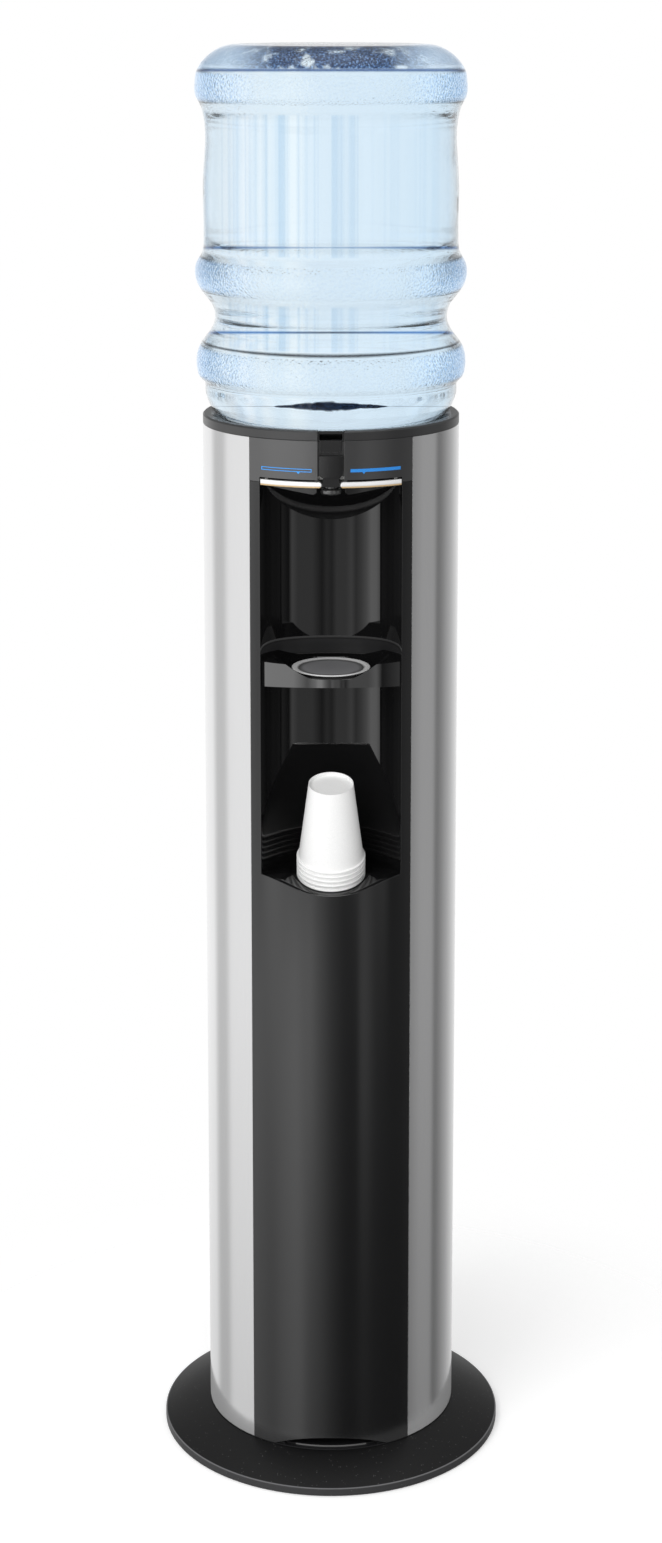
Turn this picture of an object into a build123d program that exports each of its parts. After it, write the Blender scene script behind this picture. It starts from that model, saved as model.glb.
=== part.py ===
from build123d import *
from math import atan, cos, degrees, hypot, pi, radians, sin, sqrt, tan
import os

# A bottle-fed water cooler: a round steel column on a wide base plate, with a bottle on its top.
# Millimetres. The origin is on the floor at the column's centre, +Z is up, and the front faces -Y.
# Angles round the column are in degrees from the front, towards the right side (+X).

# ---- driving dimensions ------------------------------------------------------------------------

seat_gap = 0.3              # clearance between curved or stacked pieces that rest on each other
running_gap = 0.05          # radial clearance of a pin or shaft in its bore

# column
column_radius = 130.0
sheet_wall = 1.2            # steel side panels and rear panel
moulding_wall = 2.5         # plastic panels
seam = 0.4                  # visible joint between neighbouring panels
front_half_angle = 38.1     # the dark front spans this much each side
rear_half_angle = 45.0      # the rear panel spans this much each side of the back
panel_lift = 1.0            # the panels start this far above the base plate
panel_top = 1083.0
split_drop = 43.6           # joint of the front panel and the tap fascia, below the panels' top
collar_height = 9.6         # visible height of the collar
hem_depth = 2.6             # folded front edge of a side panel
hem_wall = 1.2

# base plate
plate_radius = 178.2
plate_edge_height = 7.8
plate_top = 24.0
plate_wall = 4.0
plate_rim = 10.0
plate_edge_round = 0.9
plate_flat_margin = 1.0     # the plate's flat middle reaches this far past the column
pad_height = 0.6            # the pads stand proud of the plate by this
pad_radius = 12.0
pad_inset = 28.2            # the pads' circle, in from the plate's edge
pad_peg_radius = 3.9
pad_peg_length = 6.0
base_screw_inset = 25.0     # the screws' circle, in from the column's face
base_screw_radius = 2.5
base_screw_head = 4.5
base_screw_head_height = 3.0
base_screw_grip = 10.0

# plinth
plinth_floor = 2.2
plinth_flange = 0.7
plinth_flange_inset = 0.6   # in from the column's face
plinth_inset = 5.2
plinth_wall = 2.8
plinth_height = 36.0
kick_half_angle = 22.0      # opening in the front of the plinth, behind the arch of the panel
kick_inset = 5.7
arch_half_width = 58.0
arch_rise = 12.6

# posts
post_wall = 2.0
front_post_start = 36.2
front_post_end = 46.0
rear_post_start = 129.0
rear_post_end = 141.0
post_web_depth = 12.0
post_web_width = 1.2        # degrees
post_web_drop = 60.0        # a post's web ends this far below the panels' top
post_web_gap = 2.0

# niche
niche_jamb = 10.2           # dark front left beside the opening
niche_side = 1.0            # the liner's inside, past the opening's edge
liner_room = 4.5            # between the liner and the reservoir's insulation
liner_wall = 2.5
liner_depth = 43.0          # the liner's floor, below the lower corners of the opening
ceiling_inset = 48.0        # the ceiling's front edge, behind the column's face
ceiling_slope = 1.03        # rise for each millimetre towards the front
ledge_depth = 11.0
lip_corner_drop = 444.0     # lower corners of the opening, below the panels' top
lip_drop = 16.8             # the opening's lower lip dips this far at the middle
tray_drop = 3.0             # the tray's flat part, below the lower corners of the opening
tray_thickness = 3.0
cup_tilt = 14.4             # the stack leans this far towards the user

# shelf and dish
shelf_drop = 224.7          # the shelf's top, below the panels' top
shelf_tall = 25.3
shelf_inset = 1.5           # the shelf's front, behind the column's face
shelf_arch = 3.3
dish_shift = 1.0            # the dish sits this far in front of the niche's middle
dish_margin = 7.7           # between the dish and the front and back of the niche
dish_height = 2.7
dish_wall = 1.2
seat_depth = 13.7           # the dish's seat, below the shelf's top
seat_slope = 1.267          # rise for each millimetre outwards
shelf_wall = 3.0

# paper cups
cup_rim_radius = 35.0
cup_roll_radius = 1.2
cup_end_radius = 22.5
cup_height = 85.0
cup_wall = 0.45
cup_recess = 4.0
cup_pitch = 5.2
cups_in_stack = 4
well_margin = 4.5           # between the cups' well and the front and back of the niche
well_bank = 2.0
seat_sink = 3.0             # the cups' seat, below the plane through the lip's middle

# taps
channel_half_width = 13.0
channel_wall = 2.0
channel_depth = 10.0
slot_rise = 4.9             # the lever slot's top, above the fascia's joint
bar_gap = 2.0               # between the slot's top and the bars
bar_tall = 5.7
bar_depth = 5.0
bar_inner_end = 9.3
bar_end_gap = 0.8
pin_radius = 2.0
pin_inset = 26.0            # the lever pin, behind the column's face
pin_rise = 15.7             # the lever pin, above the slot's top
hub_radius = 4.5
lever_inner = 16.0
lever_end_gap = 8.5         # from the lever's hub to the edge of the opening
lever_wall = 4.0
lever_swing = 12.0
skirt_drop = 7.6            # the levers' skirts hang this far below the bars
skirt_end_gap = 11.0        # from the skirt to the edge of the opening
skirt_depth = 3.5
valve_spacing = 30.0
rib_drop = 14.0             # the valves, below the lever pin
valve_floor = 2.82          # wall under the valve bores
valve_bore = 5.0
valve_inset = 14.0          # the valve block's face, behind the lever pin
valve_length = 26.0
valve_bore_depth = 22.0
plunger_stem = 3.0
piston_length = 8.5
piston_inset = 1.5
rib_radius = 3.0
rib_reach = 5.0             # the rib's rearmost line lies this far behind the pin's centre
spring_wire = 0.4
spring_turns = 6
spout_half_width = 11.6
spout_corner = 4.5          # rounding of the spout block's lower corners
cover_side = 1.2            # the cover's panel is this much narrower than the block, each side
cover_gap = 2.5             # between the spout block and its cover
spout_arm_half_width = 8.0
spout_arm_drop = 9.0        # the spout's arm reaches this far below the valves
nozzle_inset = 24.0         # the nozzle, behind the column's face
nozzle_drop = 10.0          # the nozzle hangs this far below the arm
nozzle_lip = 10.3
nozzle_lip_height = 6.0
nozzle_round = 1.9          # rounding of the nozzle's lip
nozzle_neck = 7.0
nozzle_bore = 4.0
cover_drop = 12.5           # the cover's foot, below the panels' top
cover_rise = 9.3            # the cover's top bar, above the panels' top
cover_bar = 3.0
hose_radius = 4.0
hose_bore = 2.5
hose_drop = 24.0            # a hose bends towards its valve this far below it
hose_lead = 22.0            # straight run of a hose before its valve
hose_turn = 16.0            # straight run of a hose after its outlet
feed_bore = 2.2
cross_bore = 2.6
spout_joint_reach = 8.0     # the valve block's arm meets the spout's this far in front of its face
mark_inner = 19.0
mark_outer = 68.0
mark_rise = 7.9             # the marks, above the lever slot's top
mark_tall = 3.2
mark_line = 0.6             # line width of the outlined mark
pointer_x = 32.0
pointer_half = 2.4
pointer_drop = 2.0

# bottle
bottle_wall = 1.6
bottle_neck_radius = 27.5
bottle_neck_length = 57.0   # from the shoulder's start to the mouth
shoulder_slope = 0.5263
shoulder_start_radius = 36.0
shoulder_drop = 43.9        # the shoulder's start, below the collar's top
shoulder_inset = 18.0       # the funnel's rim, in from the column's face
cap_wall = 1.7
cap_height = 40.0
cap_hole = 9.2
well_wall = 2.2
probe_radius = 8.0
probe_bore = 5.0
probe_rise = 24.0           # the probe's tip, above the bottle's mouth
probe_depth = 25.0          # the probe's foot, below the reservoir's top

# cooling
reservoir_y = 32.0
reservoir_radius = 47.0
reservoir_wall = 1.2
reservoir_tall = 175.0
neck_room = 17.0            # between the bottle's mouth and the reservoir's top
reservoir_flange = 55.0
lid_thickness = 3.0
baffle_rise = 128.0         # the baffle, above the reservoir's floor
baffle_gap = 0.5
coil_radius = 50.0
coil_tube = 2.5
coil_pitch = 15.0
coil_turns = 9
coil_rise = 22.0            # the coil's start, above the reservoir's floor
insulation_wall = 8.0
stub_radius = 4.0
stub_length = 17.0
stub_angle = 54.0           # outlets point this far round from straight ahead
stub_inset = 8.0            # outlets, in from the reservoir's floor and top
deck_drop = 12.0            # the deck, below the reservoir's floor
deck_wall = 2.0
compressor_radius = 56.0
compressor_y = 5.0
compressor_foot = 2.5
compressor_tall = 131.5     # the can, above its foot plate
discharge_drop = 52.0       # the discharge stub, below the can's top
suction_drop = 62.0
relay_low = 90.0            # the relay cover, below the can's top
relay_high = 42.0
grommet_x = 62.0
grommet_y = 38.0
grommet_radius = 9.0
grommet_tall = 11.8
bolt_radius = 2.9
condenser_inset = 38.0      # the condenser, in front of the column's back
condenser_tube = 2.5
condenser_half_width = 48.0
condenser_passes = 12
condenser_pitch = 28.0
condenser_bottom = 300.0
wire_size = 1.6
wire_count = 13
pipe_radius = 2.5
suction_radius = 3.0
capillary_radius = 1.5
pipe_bend = 8.0
drier_radius = 9.0
drier_drop = 38.0           # the drier's top, below the condenser's first pass
drier_length = 82.0
side_pipe_x = 70.0
riser_x = 84.0              # the discharge pipe climbs here
riser_y = 60.0

# controls on the rear panel
thermostat_drop = 88.0      # the thermostat, below the reservoir's deck
knob_radius = 14.0
knob_depth = 12.0
knob_shaft = 3.0
inlet_height = 110.0
inlet_width = 27.0
inlet_tall = 20.0
inlet_flange = 2.0
switch_rise = 36.0          # the switch, above the mains inlet
switch_width = 26.0
switch_tall = 22.0
rocker_radius = 7.7
rocker_half_width = 8.0
rocker_tilt = 10.0
louvre_width = 42.0
louvre_height = 5.0
louvre_pitch = 16.0
louvre_count = 20
louvre_rise = 10.0          # the first louvres, above the condenser's first pass
louvre_centre_x = 30.0
rear_screw_radius = 1.9
rear_screw_head = 4.0
rear_screw_low = 55.0       # the lowest screw, above the panel's foot
rear_screw_high = 33.0      # the highest screw, below the panels' top

# ---- sizes worked out from those above ---------------------------------------------------------

panel_bottom = plate_top + panel_lift
split_height = panel_top - split_drop
collar_bottom = panel_top + seat_gap
collar_top = collar_bottom + collar_height
sheet_inner = column_radius - sheet_wall
moulding_inner = column_radius - moulding_wall
seam_angle = degrees(seam / column_radius)
plate_flat_radius = column_radius + plate_flat_margin
pad_circle = plate_radius - pad_inset
base_screw_circle = column_radius - base_screw_inset
plinth_flange_radius = column_radius - plinth_flange_inset
plinth_wall_radius = column_radius - plinth_inset
kick_radius = column_radius - kick_inset
plinth_bottom = plate_top
plinth_floor_top = plinth_bottom + plinth_floor
front_post_outer = moulding_inner - seat_gap
rear_post_outer = sheet_inner - seat_gap
insulation_inner = coil_radius + coil_tube + 0.5
insulation_outer = insulation_inner + insulation_wall
niche_half_width = column_radius * sin(radians(front_half_angle)) - niche_jamb
niche_radius = niche_half_width + niche_side
liner_outer = niche_radius + liner_wall
niche_back_y = reservoir_y - insulation_outer - liner_room - liner_wall
niche_centre_y = niche_back_y - niche_radius
niche_depth = column_radius + niche_back_y
ceiling_front_y = -column_radius + ceiling_inset
shelf_radius = column_radius - shelf_inset
dish_y = niche_back_y - niche_depth / 2 - dish_shift
seat_radius = niche_depth / 2
dish_radius = seat_radius - dish_margin
well_radius = seat_radius - well_margin
pin_y = -column_radius + pin_inset
lever_outer = niche_half_width - lever_end_gap
skirt_outer = niche_half_width - skirt_end_gap
valve_front_y = pin_y + valve_inset
valve_back_y = valve_front_y + valve_length
nozzle_y = -column_radius + nozzle_inset
spout_joint_y = valve_front_y - spout_joint_reach
shoulder_end_radius = column_radius - shoulder_inset
condenser_y = column_radius - condenser_inset
coil_back_y = reservoir_y + coil_radius
lip_corner_height = panel_top - lip_corner_drop
liner_bottom = lip_corner_height - liner_depth
tray_base = liner_bottom + liner_wall
tray_top = lip_corner_height - tray_drop
shelf_top = panel_top - shelf_drop
shelf_bottom = shelf_top - shelf_tall
seat_height = shelf_top - seat_depth
slot_top = split_height + slot_rise
bar_top = slot_top - bar_gap
bar_bottom = bar_top - bar_tall
skirt_bottom = bar_bottom - skirt_drop
pin_height = slot_top + pin_rise
valve_height = pin_height - rib_drop
valve_block_bottom = valve_height - valve_bore - valve_floor
ledge_top = valve_block_bottom - seat_gap
ledge_height = ledge_top - liner_wall
feed_height = (valve_block_bottom + valve_height) / 2
spout_arm_bottom = valve_height - spout_arm_drop
nozzle_bottom = spout_arm_bottom - nozzle_drop
cover_bottom = panel_top - cover_drop
cover_top = panel_top + cover_rise
spout_top = cover_bottom - cover_gap
rib_y = rib_reach - rib_radius
plunger_front_y = pin_y + rib_reach + seat_gap
plunger_travel = rib_y * (cos(radians(lever_swing)) - 1) + rib_drop * sin(radians(lever_swing))
cup_seat_rise = tan(radians(cup_tilt))
lip_middle_height = lip_corner_height - lip_drop
well_height = lip_middle_height + (dish_y + column_radius) * cup_seat_rise - seat_sink
shoulder_start_height = collar_top - shoulder_drop
bottle_neck_end = shoulder_start_height - bottle_neck_length
reservoir_top = bottle_neck_end - neck_room
reservoir_bottom = reservoir_top - reservoir_tall
probe_top = bottle_neck_end + probe_rise
probe_bottom = reservoir_top - probe_depth
baffle_height = reservoir_bottom + baffle_rise
coil_bottom = reservoir_bottom + coil_rise
cold_stub_height = reservoir_bottom + stub_inset
ambient_stub_height = reservoir_top - stub_inset
deck_height = reservoir_bottom - deck_drop
thermostat_height = deck_height - thermostat_drop
coil_top = coil_bottom + coil_pitch * coil_turns
post_top = panel_top
hole_start = column_radius - 30
hole_end = column_radius + 10
compressor_foot_height = plinth_floor_top + grommet_tall
compressor_top = compressor_foot_height + compressor_foot + compressor_tall
discharge_height = compressor_top - discharge_drop
suction_height = compressor_top - suction_drop
drier_top = condenser_bottom - drier_drop
drier_bottom = drier_top - drier_length
louvre_bottom = condenser_bottom + louvre_rise
switch_height = inlet_height + switch_rise
knob_back_y = column_radius + 0.6

LOW = (Align.CENTER, Align.CENTER, Align.MIN)
UP = (0, 0, 1)


# ---- shared shapes -----------------------------------------------------------------------------

def polar(radius, angle):
    """A point at an angle from the front, towards the right side."""
    return (radius * sin(radians(angle)), -radius * cos(radians(angle)))


def rod(radius, bottom, top, x=0.0, y=0.0):
    """An upright cylinder between two heights."""
    return Pos(x, y, bottom) * Cylinder(radius, top - bottom, align=LOW)


def rod_along_y(radius, start, end, x=0.0, z=0.0):
    """A cylinder that runs from front to back."""
    return Pos(x, (start + end) / 2, z) * Rot(90, 0, 0) * Cylinder(radius, end - start)


def rod_along_x(radius, start, end, y=0.0, z=0.0):
    """A cylinder that runs from left to right."""
    return Pos((start + end) / 2, y, z) * Rot(0, 90, 0) * Cylinder(radius, end - start)


def block(x0, x1, y0, y1, z0, z1):
    """A box between three pairs of faces."""
    return Pos((x0 + x1) / 2, (y0 + y1) / 2, (z0 + z1) / 2) * Box(x1 - x0, y1 - y0, z1 - z0)


def turned(points, x=0.0, y=0.0):
    """A round body from its outline, given as pairs of radius and height."""
    outline = Polyline([(r, 0, z) for r, z in points], close=True)
    return Pos(x, y, 0) * revolve(make_face(outline), Axis.Z)


def curved_wall(inner, outer, bottom, top, start, end):
    """A stretch of the column's wall between two angles."""
    middle = (start + end) / 2
    far = ThreePointArc(polar(outer, start), polar(outer, middle), polar(outer, end))
    near = ThreePointArc(polar(inner, end), polar(inner, middle), polar(inner, start))
    face = make_face([far, Line(far @ 1, near @ 0), near, Line(near @ 1, far @ 0)])
    return Pos(0, 0, bottom) * extrude(face, amount=top - bottom, dir=UP)


def front_cut(edges, depth_from, depth_to):
    """A cutter with an outline drawn on the front view, between two depths."""
    face = make_face(edges)
    return Pos(0, depth_from, 0) * extrude(face, amount=depth_to - depth_from, dir=(0, 1, 0))


def path_of(points, bend):
    """Straight runs between points, joined by tangent arcs of one radius."""
    spots = [Vector(*p) for p in points]
    edges = []
    start = spots[0]
    for before, corner, after in zip(spots, spots[1:], spots[2:]):
        back = (before - corner).normalized()
        ahead = (after - corner).normalized()
        half_turn = radians(180 - back.get_angle(ahead)) / 2
        setback = bend * tan(half_turn)
        middle = (back + ahead).normalized()
        reach = bend / cos(half_turn) - bend
        first = corner + back * setback
        last = corner + ahead * setback
        edges.append(Line(start, first))
        edges.append(ThreePointArc(first, corner + middle * reach, last))
        start = last
    edges.append(Line(start, spots[-1]))
    return Wire([edge.edge() if hasattr(edge, "edge") else edge for edge in edges])


def pipe(points, radius, bend, bore=0.0):
    """A pipe or hose along points."""
    path = path_of(points, bend)
    section = Circle(radius)
    if bore:
        section -= Circle(bore)
    aim = Vector(*points[1]) - Vector(*points[0])
    return sweep(Plane(origin=points[0], z_dir=aim) * section, path=path)


def helix_wire(radius, pitch, turns, bottom, start):
    """A rising coil of quarter turns, each made of two tangent arcs."""
    climb = pitch / (2 * pi)

    def spot(angle):
        return Vector(radius * cos(angle), radius * sin(angle), bottom + climb * (angle - start))

    def heading(angle):
        return Vector(-radius * sin(angle), radius * cos(angle), climb).normalized()

    edges = []
    for step in range(round(turns * 4)):
        first = start + step * pi / 2
        last = first + pi / 2
        p, q, t, u = spot(first), spot(last), heading(first), heading(last)
        span = q - p
        a = 2 * (t.dot(u) - 1)
        b = -2 * span.dot(t + u)
        c = span.dot(span)
        reach = (-b - sqrt(b * b - 4 * a * c)) / (2 * a)
        middle = (p + t * reach + q - u * reach) / 2
        edges.append(TangentArc(p, middle, tangent=t).edge())
        edges.append(TangentArc(middle, q, tangent=(q - u * reach - middle)).edge())
    return Wire(edges)


def coil(radius, pitch, turns, bottom, wire, start=0.0):
    """A wound tube or spring wire about +Z."""
    path = helix_wire(radius, pitch, turns, bottom, start)
    plane = Plane(origin=path @ 0, z_dir=path % 0)
    return sweep(plane * Circle(wire), path=path)


def both_sides(shape):
    """A shape and its mirror image on the other side of the column."""
    return [shape, mirror(shape, about=Plane.YZ)]


def save(name, *solids):
    """Write one node, from one solid or several separate ones."""
    flat = []
    for item in solids:
        flat.extend(item.solids())
    shape = flat[0] if len(flat) == 1 else Compound(children=flat)
    export_step(shape, f"parts/{name}.step")


# ---- base and frame ----------------------------------------------------------------------------

def plate_outline(top, edge, radius, flat):
    """The base plate's upper outline: flat middle, domed skirt, upright edge."""
    middle_radius = (flat + radius) / 2
    bulge = 1.2
    middle = (middle_radius, 0, (top + edge) / 2 + bulge)
    return ThreePointArc((flat, 0, top), middle, (radius, 0, edge))


def plate_body(inset, low, edge_height):
    """A domed disc, inset by a wall from the plate's outer shape."""
    top = plate_top - inset
    rim = plate_radius - (plate_rim if inset else 0)
    flat = plate_flat_radius - inset / 2
    skirt = plate_outline(top, edge_height, rim, flat)
    edges = [
        Line((0, 0, low), (0, 0, top)),
        Line((0, 0, top), skirt @ 0),
        skirt,
        Line(skirt @ 1, (rim, 0, low)),
        Line((rim, 0, low), (0, 0, low)),
    ]
    return revolve(make_face(edges), Axis.Z)


def quarter_angles():
    return [45 + 90 * corner for corner in range(4)]


def make_base_plate():
    full = plate_body(0, pad_height, plate_edge_height)
    rim = [edge for edge in full.edges() if abs(edge.center().Z - plate_edge_height) < 0.01]
    full = fillet(rim, plate_edge_round)
    under_edge = plate_edge_height + plate_wall * 0.25
    plate = full - plate_body(plate_wall, pad_height, under_edge)
    for angle in quarter_angles():
        x, y = polar(pad_circle, angle)
        boss = rod(pad_radius + 1, pad_height, plate_top, x, y) & full
        peg_hole = rod(pad_peg_radius + 0.1, pad_height, pad_height + pad_peg_length + 0.5, x, y)
        plate = plate + boss - peg_hole
        x, y = polar(base_screw_circle, angle)
        plate -= rod(base_screw_radius + 0.1, 0, plate_top, x, y)
    return plate


def make_foot_pads():
    pads = []
    for angle in quarter_angles():
        x, y = polar(pad_circle, angle)
        pad = rod(pad_radius, 0, pad_height, x, y)
        pads.append(pad + rod(pad_peg_radius, 0, pad_height + pad_peg_length, x, y))
    return pads


def make_base_screws():
    head_top = plate_top - plate_wall
    screws = []
    for angle in quarter_angles():
        x, y = polar(base_screw_circle, angle)
        shank = rod(base_screw_radius, head_top, plate_top + base_screw_grip, x, y)
        screws.append(shank + rod(base_screw_head, head_top - base_screw_head_height, head_top, x, y))
    return screws


def make_plinth():
    floor = rod(front_post_outer, plinth_bottom, plinth_floor_top)
    floor += rod(plinth_flange_radius, plinth_bottom, plinth_bottom + plinth_flange)
    wall_top = plinth_bottom + plinth_height
    wall_inner = plinth_wall_radius - plinth_wall
    wall = rod(plinth_wall_radius, plinth_bottom, wall_top) - rod(wall_inner, plinth_bottom, wall_top)
    plinth = floor + wall
    for angle in quarter_angles():
        x, y = polar(base_screw_circle, angle)
        boss_top = plate_top + base_screw_grip + plinth_floor
        plinth += rod(base_screw_radius + 4, plinth_bottom, boss_top, x, y)
        plinth -= rod(base_screw_radius + 0.1, plinth_bottom, plate_top + base_screw_grip + 0.5, x, y)
    kick = curved_wall(kick_radius, column_radius, plinth_bottom + plinth_flange, wall_top,
                       -kick_half_angle, kick_half_angle)
    behind = curved_wall(wall_inner - 1, column_radius, plinth_floor_top, wall_top,
                         -kick_half_angle, kick_half_angle)
    return plinth - kick - behind


def post(outer, start, end, web_angle):
    strip = curved_wall(outer - post_wall, outer, plinth_floor_top, post_top, start, end)
    web_inner = outer - post_wall - post_web_depth
    web_bottom = plinth_bottom + plinth_height + post_web_gap
    web_top = panel_top - post_web_drop
    web = curved_wall(web_inner, outer - post_wall / 2, web_bottom, web_top,
                      web_angle - post_web_width / 2, web_angle + post_web_width / 2)
    return strip + web


def make_front_posts():
    web_angle = front_post_end - post_web_width / 2
    return both_sides(post(front_post_outer, front_post_start, front_post_end, web_angle))


def make_rear_posts():
    web_angle = rear_post_start + post_web_width / 2
    right = post(rear_post_outer, rear_post_start, rear_post_end, web_angle)
    for angle, height in rear_screw_spots():
        right -= radial_rod(rear_screw_radius + 0.1, hole_start, hole_end, angle, height)
    return both_sides(right)


# ---- casing ------------------------------------------------------------------------------------

def make_side_panel():
    start = front_half_angle
    end = 180 - rear_half_angle - seam_angle / 2
    sheet = curved_wall(sheet_inner, column_radius, panel_bottom, panel_top, start, end)
    hem_angle = degrees(hem_wall / column_radius)
    hem = curved_wall(column_radius - hem_depth, column_radius, panel_bottom, panel_top,
                      start, start + hem_angle)
    return sheet + hem


def rear_screw_spots():
    """Angle and height of each screw of the rear panel."""
    angle = (rear_post_end + 180 - rear_half_angle) / 2
    low = panel_bottom + rear_screw_low
    high = panel_top - rear_screw_high
    return [(side * angle, height) for side in (-1, 1) for height in (low, (low + high) / 2, high)]


def radial_rod(radius, inner, outer, angle, height):
    """A cylinder that points outwards from the column's axis."""
    return Rot(0, 0, angle) * rod_along_y(radius, -outer, -inner, z=height)


def make_rear_panel():
    start = 180 - rear_half_angle + seam_angle / 2
    panel = curved_wall(sheet_inner, column_radius, panel_bottom, panel_top, start, 360 - start)
    cutters = []
    for row in range(louvre_count):
        z = louvre_bottom + row * louvre_pitch
        for x in (-louvre_centre_x, louvre_centre_x):
            half = louvre_width / 2
            cutters.append(block(x - half, x + half, hole_start - 40, hole_end, z, z + louvre_height))
    for angle, height in rear_screw_spots():
        cutters.append(radial_rod(rear_screw_radius + 0.1, hole_start, hole_end, angle, height))
    cutters.append(rod_along_y(knob_shaft + 0.4, hole_start, hole_end, z=thermostat_height))
    half = inlet_width / 2 + 0.3
    tall = inlet_tall / 2 + 0.3
    cutters.append(block(-half, half, hole_start, hole_end, inlet_height - tall, inlet_height + tall))
    half = switch_width / 2 - 1.7
    tall = switch_tall / 2 - 1.7
    cutters.append(block(-half, half, hole_start, hole_end, switch_height - tall, switch_height + tall))
    return panel - cutters


def make_rear_panel_screws():
    screws = []
    for angle, height in rear_screw_spots():
        shank = radial_rod(rear_screw_radius, sheet_inner - 6, column_radius + 1, angle, height)
        head = radial_rod(rear_screw_head, column_radius + 0.1, column_radius + 2.2, angle, height)
        screws.append(shank + head)
    return screws


def lip_edges(top):
    """The opening's outline on the front view: upright sides and a lip that dips in the middle."""
    half = niche_half_width
    corner = lip_corner_height
    shape = [(1.0, 0.0), (0.76, 0.24), (0.51, 0.61), (0.31, 0.87), (0.0, 1.0)]
    right = [(half * u, 0, corner - lip_drop * v) for u, v in shape]
    left = [(-x, 0, z) for x, _, z in right[:-1]]
    lip = Spline(left + right[::-1])
    return [
        lip,
        Line((half, 0, corner), (half, 0, top)),
        Line((half, 0, top), (-half, 0, top)),
        Line((-half, 0, top), (-half, 0, corner)),
    ]


def arch_edges():
    """The arch cut in the foot of the front panel, on the front view."""
    half = arch_half_width
    low = panel_bottom - 5
    edge = panel_bottom
    shape = [(1.0, 0.0), (0.88, 0.25), (0.61, 0.67), (0.32, 0.92), (0.0, 1.0)]
    right = [(half * u, 0, edge + arch_rise * v) for u, v in shape]
    left = [(-x, 0, z) for x, _, z in right[:-1]]
    curve = Spline(left + right[::-1])
    return [
        curve,
        Line((half, 0, edge), (half, 0, low)),
        Line((half, 0, low), (-half, 0, low)),
        Line((-half, 0, low), (-half, 0, edge)),
    ]


def make_front_panel():
    edge = front_half_angle - seam_angle
    panel = curved_wall(moulding_inner, column_radius, panel_bottom, split_height, -edge, edge)
    opening = front_cut(lip_edges(split_height + 10), -column_radius - 1, niche_back_y - 20)
    arch = front_cut(arch_edges(), -column_radius - 1, niche_back_y - 20)
    return panel - opening - arch


def make_tap_fascia():
    edge = front_half_angle - seam_angle
    bottom = split_height + seam / 2
    skin = curved_wall(moulding_inner, column_radius, bottom, panel_top, -edge, edge)
    half = niche_half_width
    front = -column_radius - 1
    skin -= block(-half, half, front, front + 60, bottom - 1, slot_top)
    skin -= block(-channel_half_width, channel_half_width, front, front + 30, bottom, panel_top)
    outer = channel_half_width + channel_wall
    floor_y = -column_radius + channel_depth
    low = slot_top + 2.5
    trough = block(-outer, outer, -moulding_inner, floor_y + channel_wall, low, panel_top)
    trough -= block(-channel_half_width, channel_half_width, front, floor_y, low, panel_top)
    return skin + trough


def mark_bar(inner_x, outer_x, low, high):
    """A thin bar on the fascia's skin, between two distances from the middle."""
    radius = column_radius
    start = degrees(atan(inner_x / sqrt(radius ** 2 - inner_x ** 2)))
    end = degrees(atan(outer_x / sqrt(radius ** 2 - outer_x ** 2)))
    return curved_wall(radius + 0.05, radius + 0.25, low, high, start, end)


def make_temperature_marks():
    """A filled bar on the cold side and an outlined bar on the room-temperature side."""
    low = slot_top + mark_rise
    high = low + mark_tall
    filled = mark_bar(mark_inner, mark_outer, low, high)
    pointer = filled.moved(Location((0, 0, -pointer_drop))) + filled
    tip = Polyline([(pointer_x - pointer_half, 0, low + 1), (pointer_x + pointer_half, 0, low + 1),
                    (pointer_x, 0, low - pointer_drop)], close=True)
    bar_face = Polyline([(0, 0, low), (column_radius, 0, low), (column_radius, 0, high + 1),
                         (0, 0, high + 1)], close=True)
    stencil = front_cut(tip, -column_radius - 5, 0) + front_cut(bar_face, -column_radius - 5, 0)
    filled = pointer & stencil
    window = block(mark_inner + mark_line, mark_outer - mark_line, -column_radius - 5, 0,
                   low + mark_line, high - mark_line)
    outlined = mirror(filled - window, about=Plane.YZ)
    return filled, outlined


def shoulder_height(radius):
    """Height of the bottle's conical shoulder at a radius."""
    return shoulder_start_height + (radius - shoulder_start_radius) * shoulder_slope


def make_collar():
    """The top moulding: a rim, and a funnel that carries the bottle's shoulder."""
    gap = seat_gap + 0.15
    drop = moulding_wall + 0.35
    throat = shoulder_start_radius + 0.1
    rim_radius = shoulder_end_radius + 2
    inner_top = (rim_radius, shoulder_height(rim_radius) - gap)
    throat_top = (throat, shoulder_height(throat) - gap)
    sleeve_inner = well_outer_radius() + seat_gap
    sleeve_low = throat_top[1] - 16
    outline = [
        (column_radius, collar_bottom),
        (column_radius, collar_top - 1.5),
        (column_radius - 1.5, collar_top),
        (rim_radius + 8, collar_top),
        inner_top,
        throat_top,
        (sleeve_inner, throat_top[1] - 3.2),
        (sleeve_inner, sleeve_low),
        (throat + 0.4, sleeve_low),
        (throat + 0.4, throat_top[1] - drop),
        (rim_radius, inner_top[1] - drop),
        (rim_radius + 8, collar_top - moulding_wall),
        (moulding_inner, collar_top - moulding_wall),
        (moulding_inner, collar_bottom),
    ]
    notch_floor = rim_radius + 5
    notch = block(-channel_half_width, channel_half_width, -column_radius - 1, -notch_floor,
                  collar_bottom, collar_top)
    return turned(outline) - notch


# ---- niche -------------------------------------------------------------------------------------

def niche_plug(radius, bottom, top):
    """The upright round space of the niche, inside the front panel."""
    plug = rod(radius, bottom, top, 0, niche_centre_y)
    return plug & rod(moulding_inner - seat_gap, bottom, top)


def ceiling_edges(lift):
    """Side outline of the room under the ceiling, lifted by a wall."""
    back = niche_back_y + 30
    return [(niche_centre_y - 30, ledge_height + lift), (ceiling_front_y, ledge_height + lift),
            (back, ledge_height + lift - (back - ceiling_front_y) * ceiling_slope)]


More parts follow.
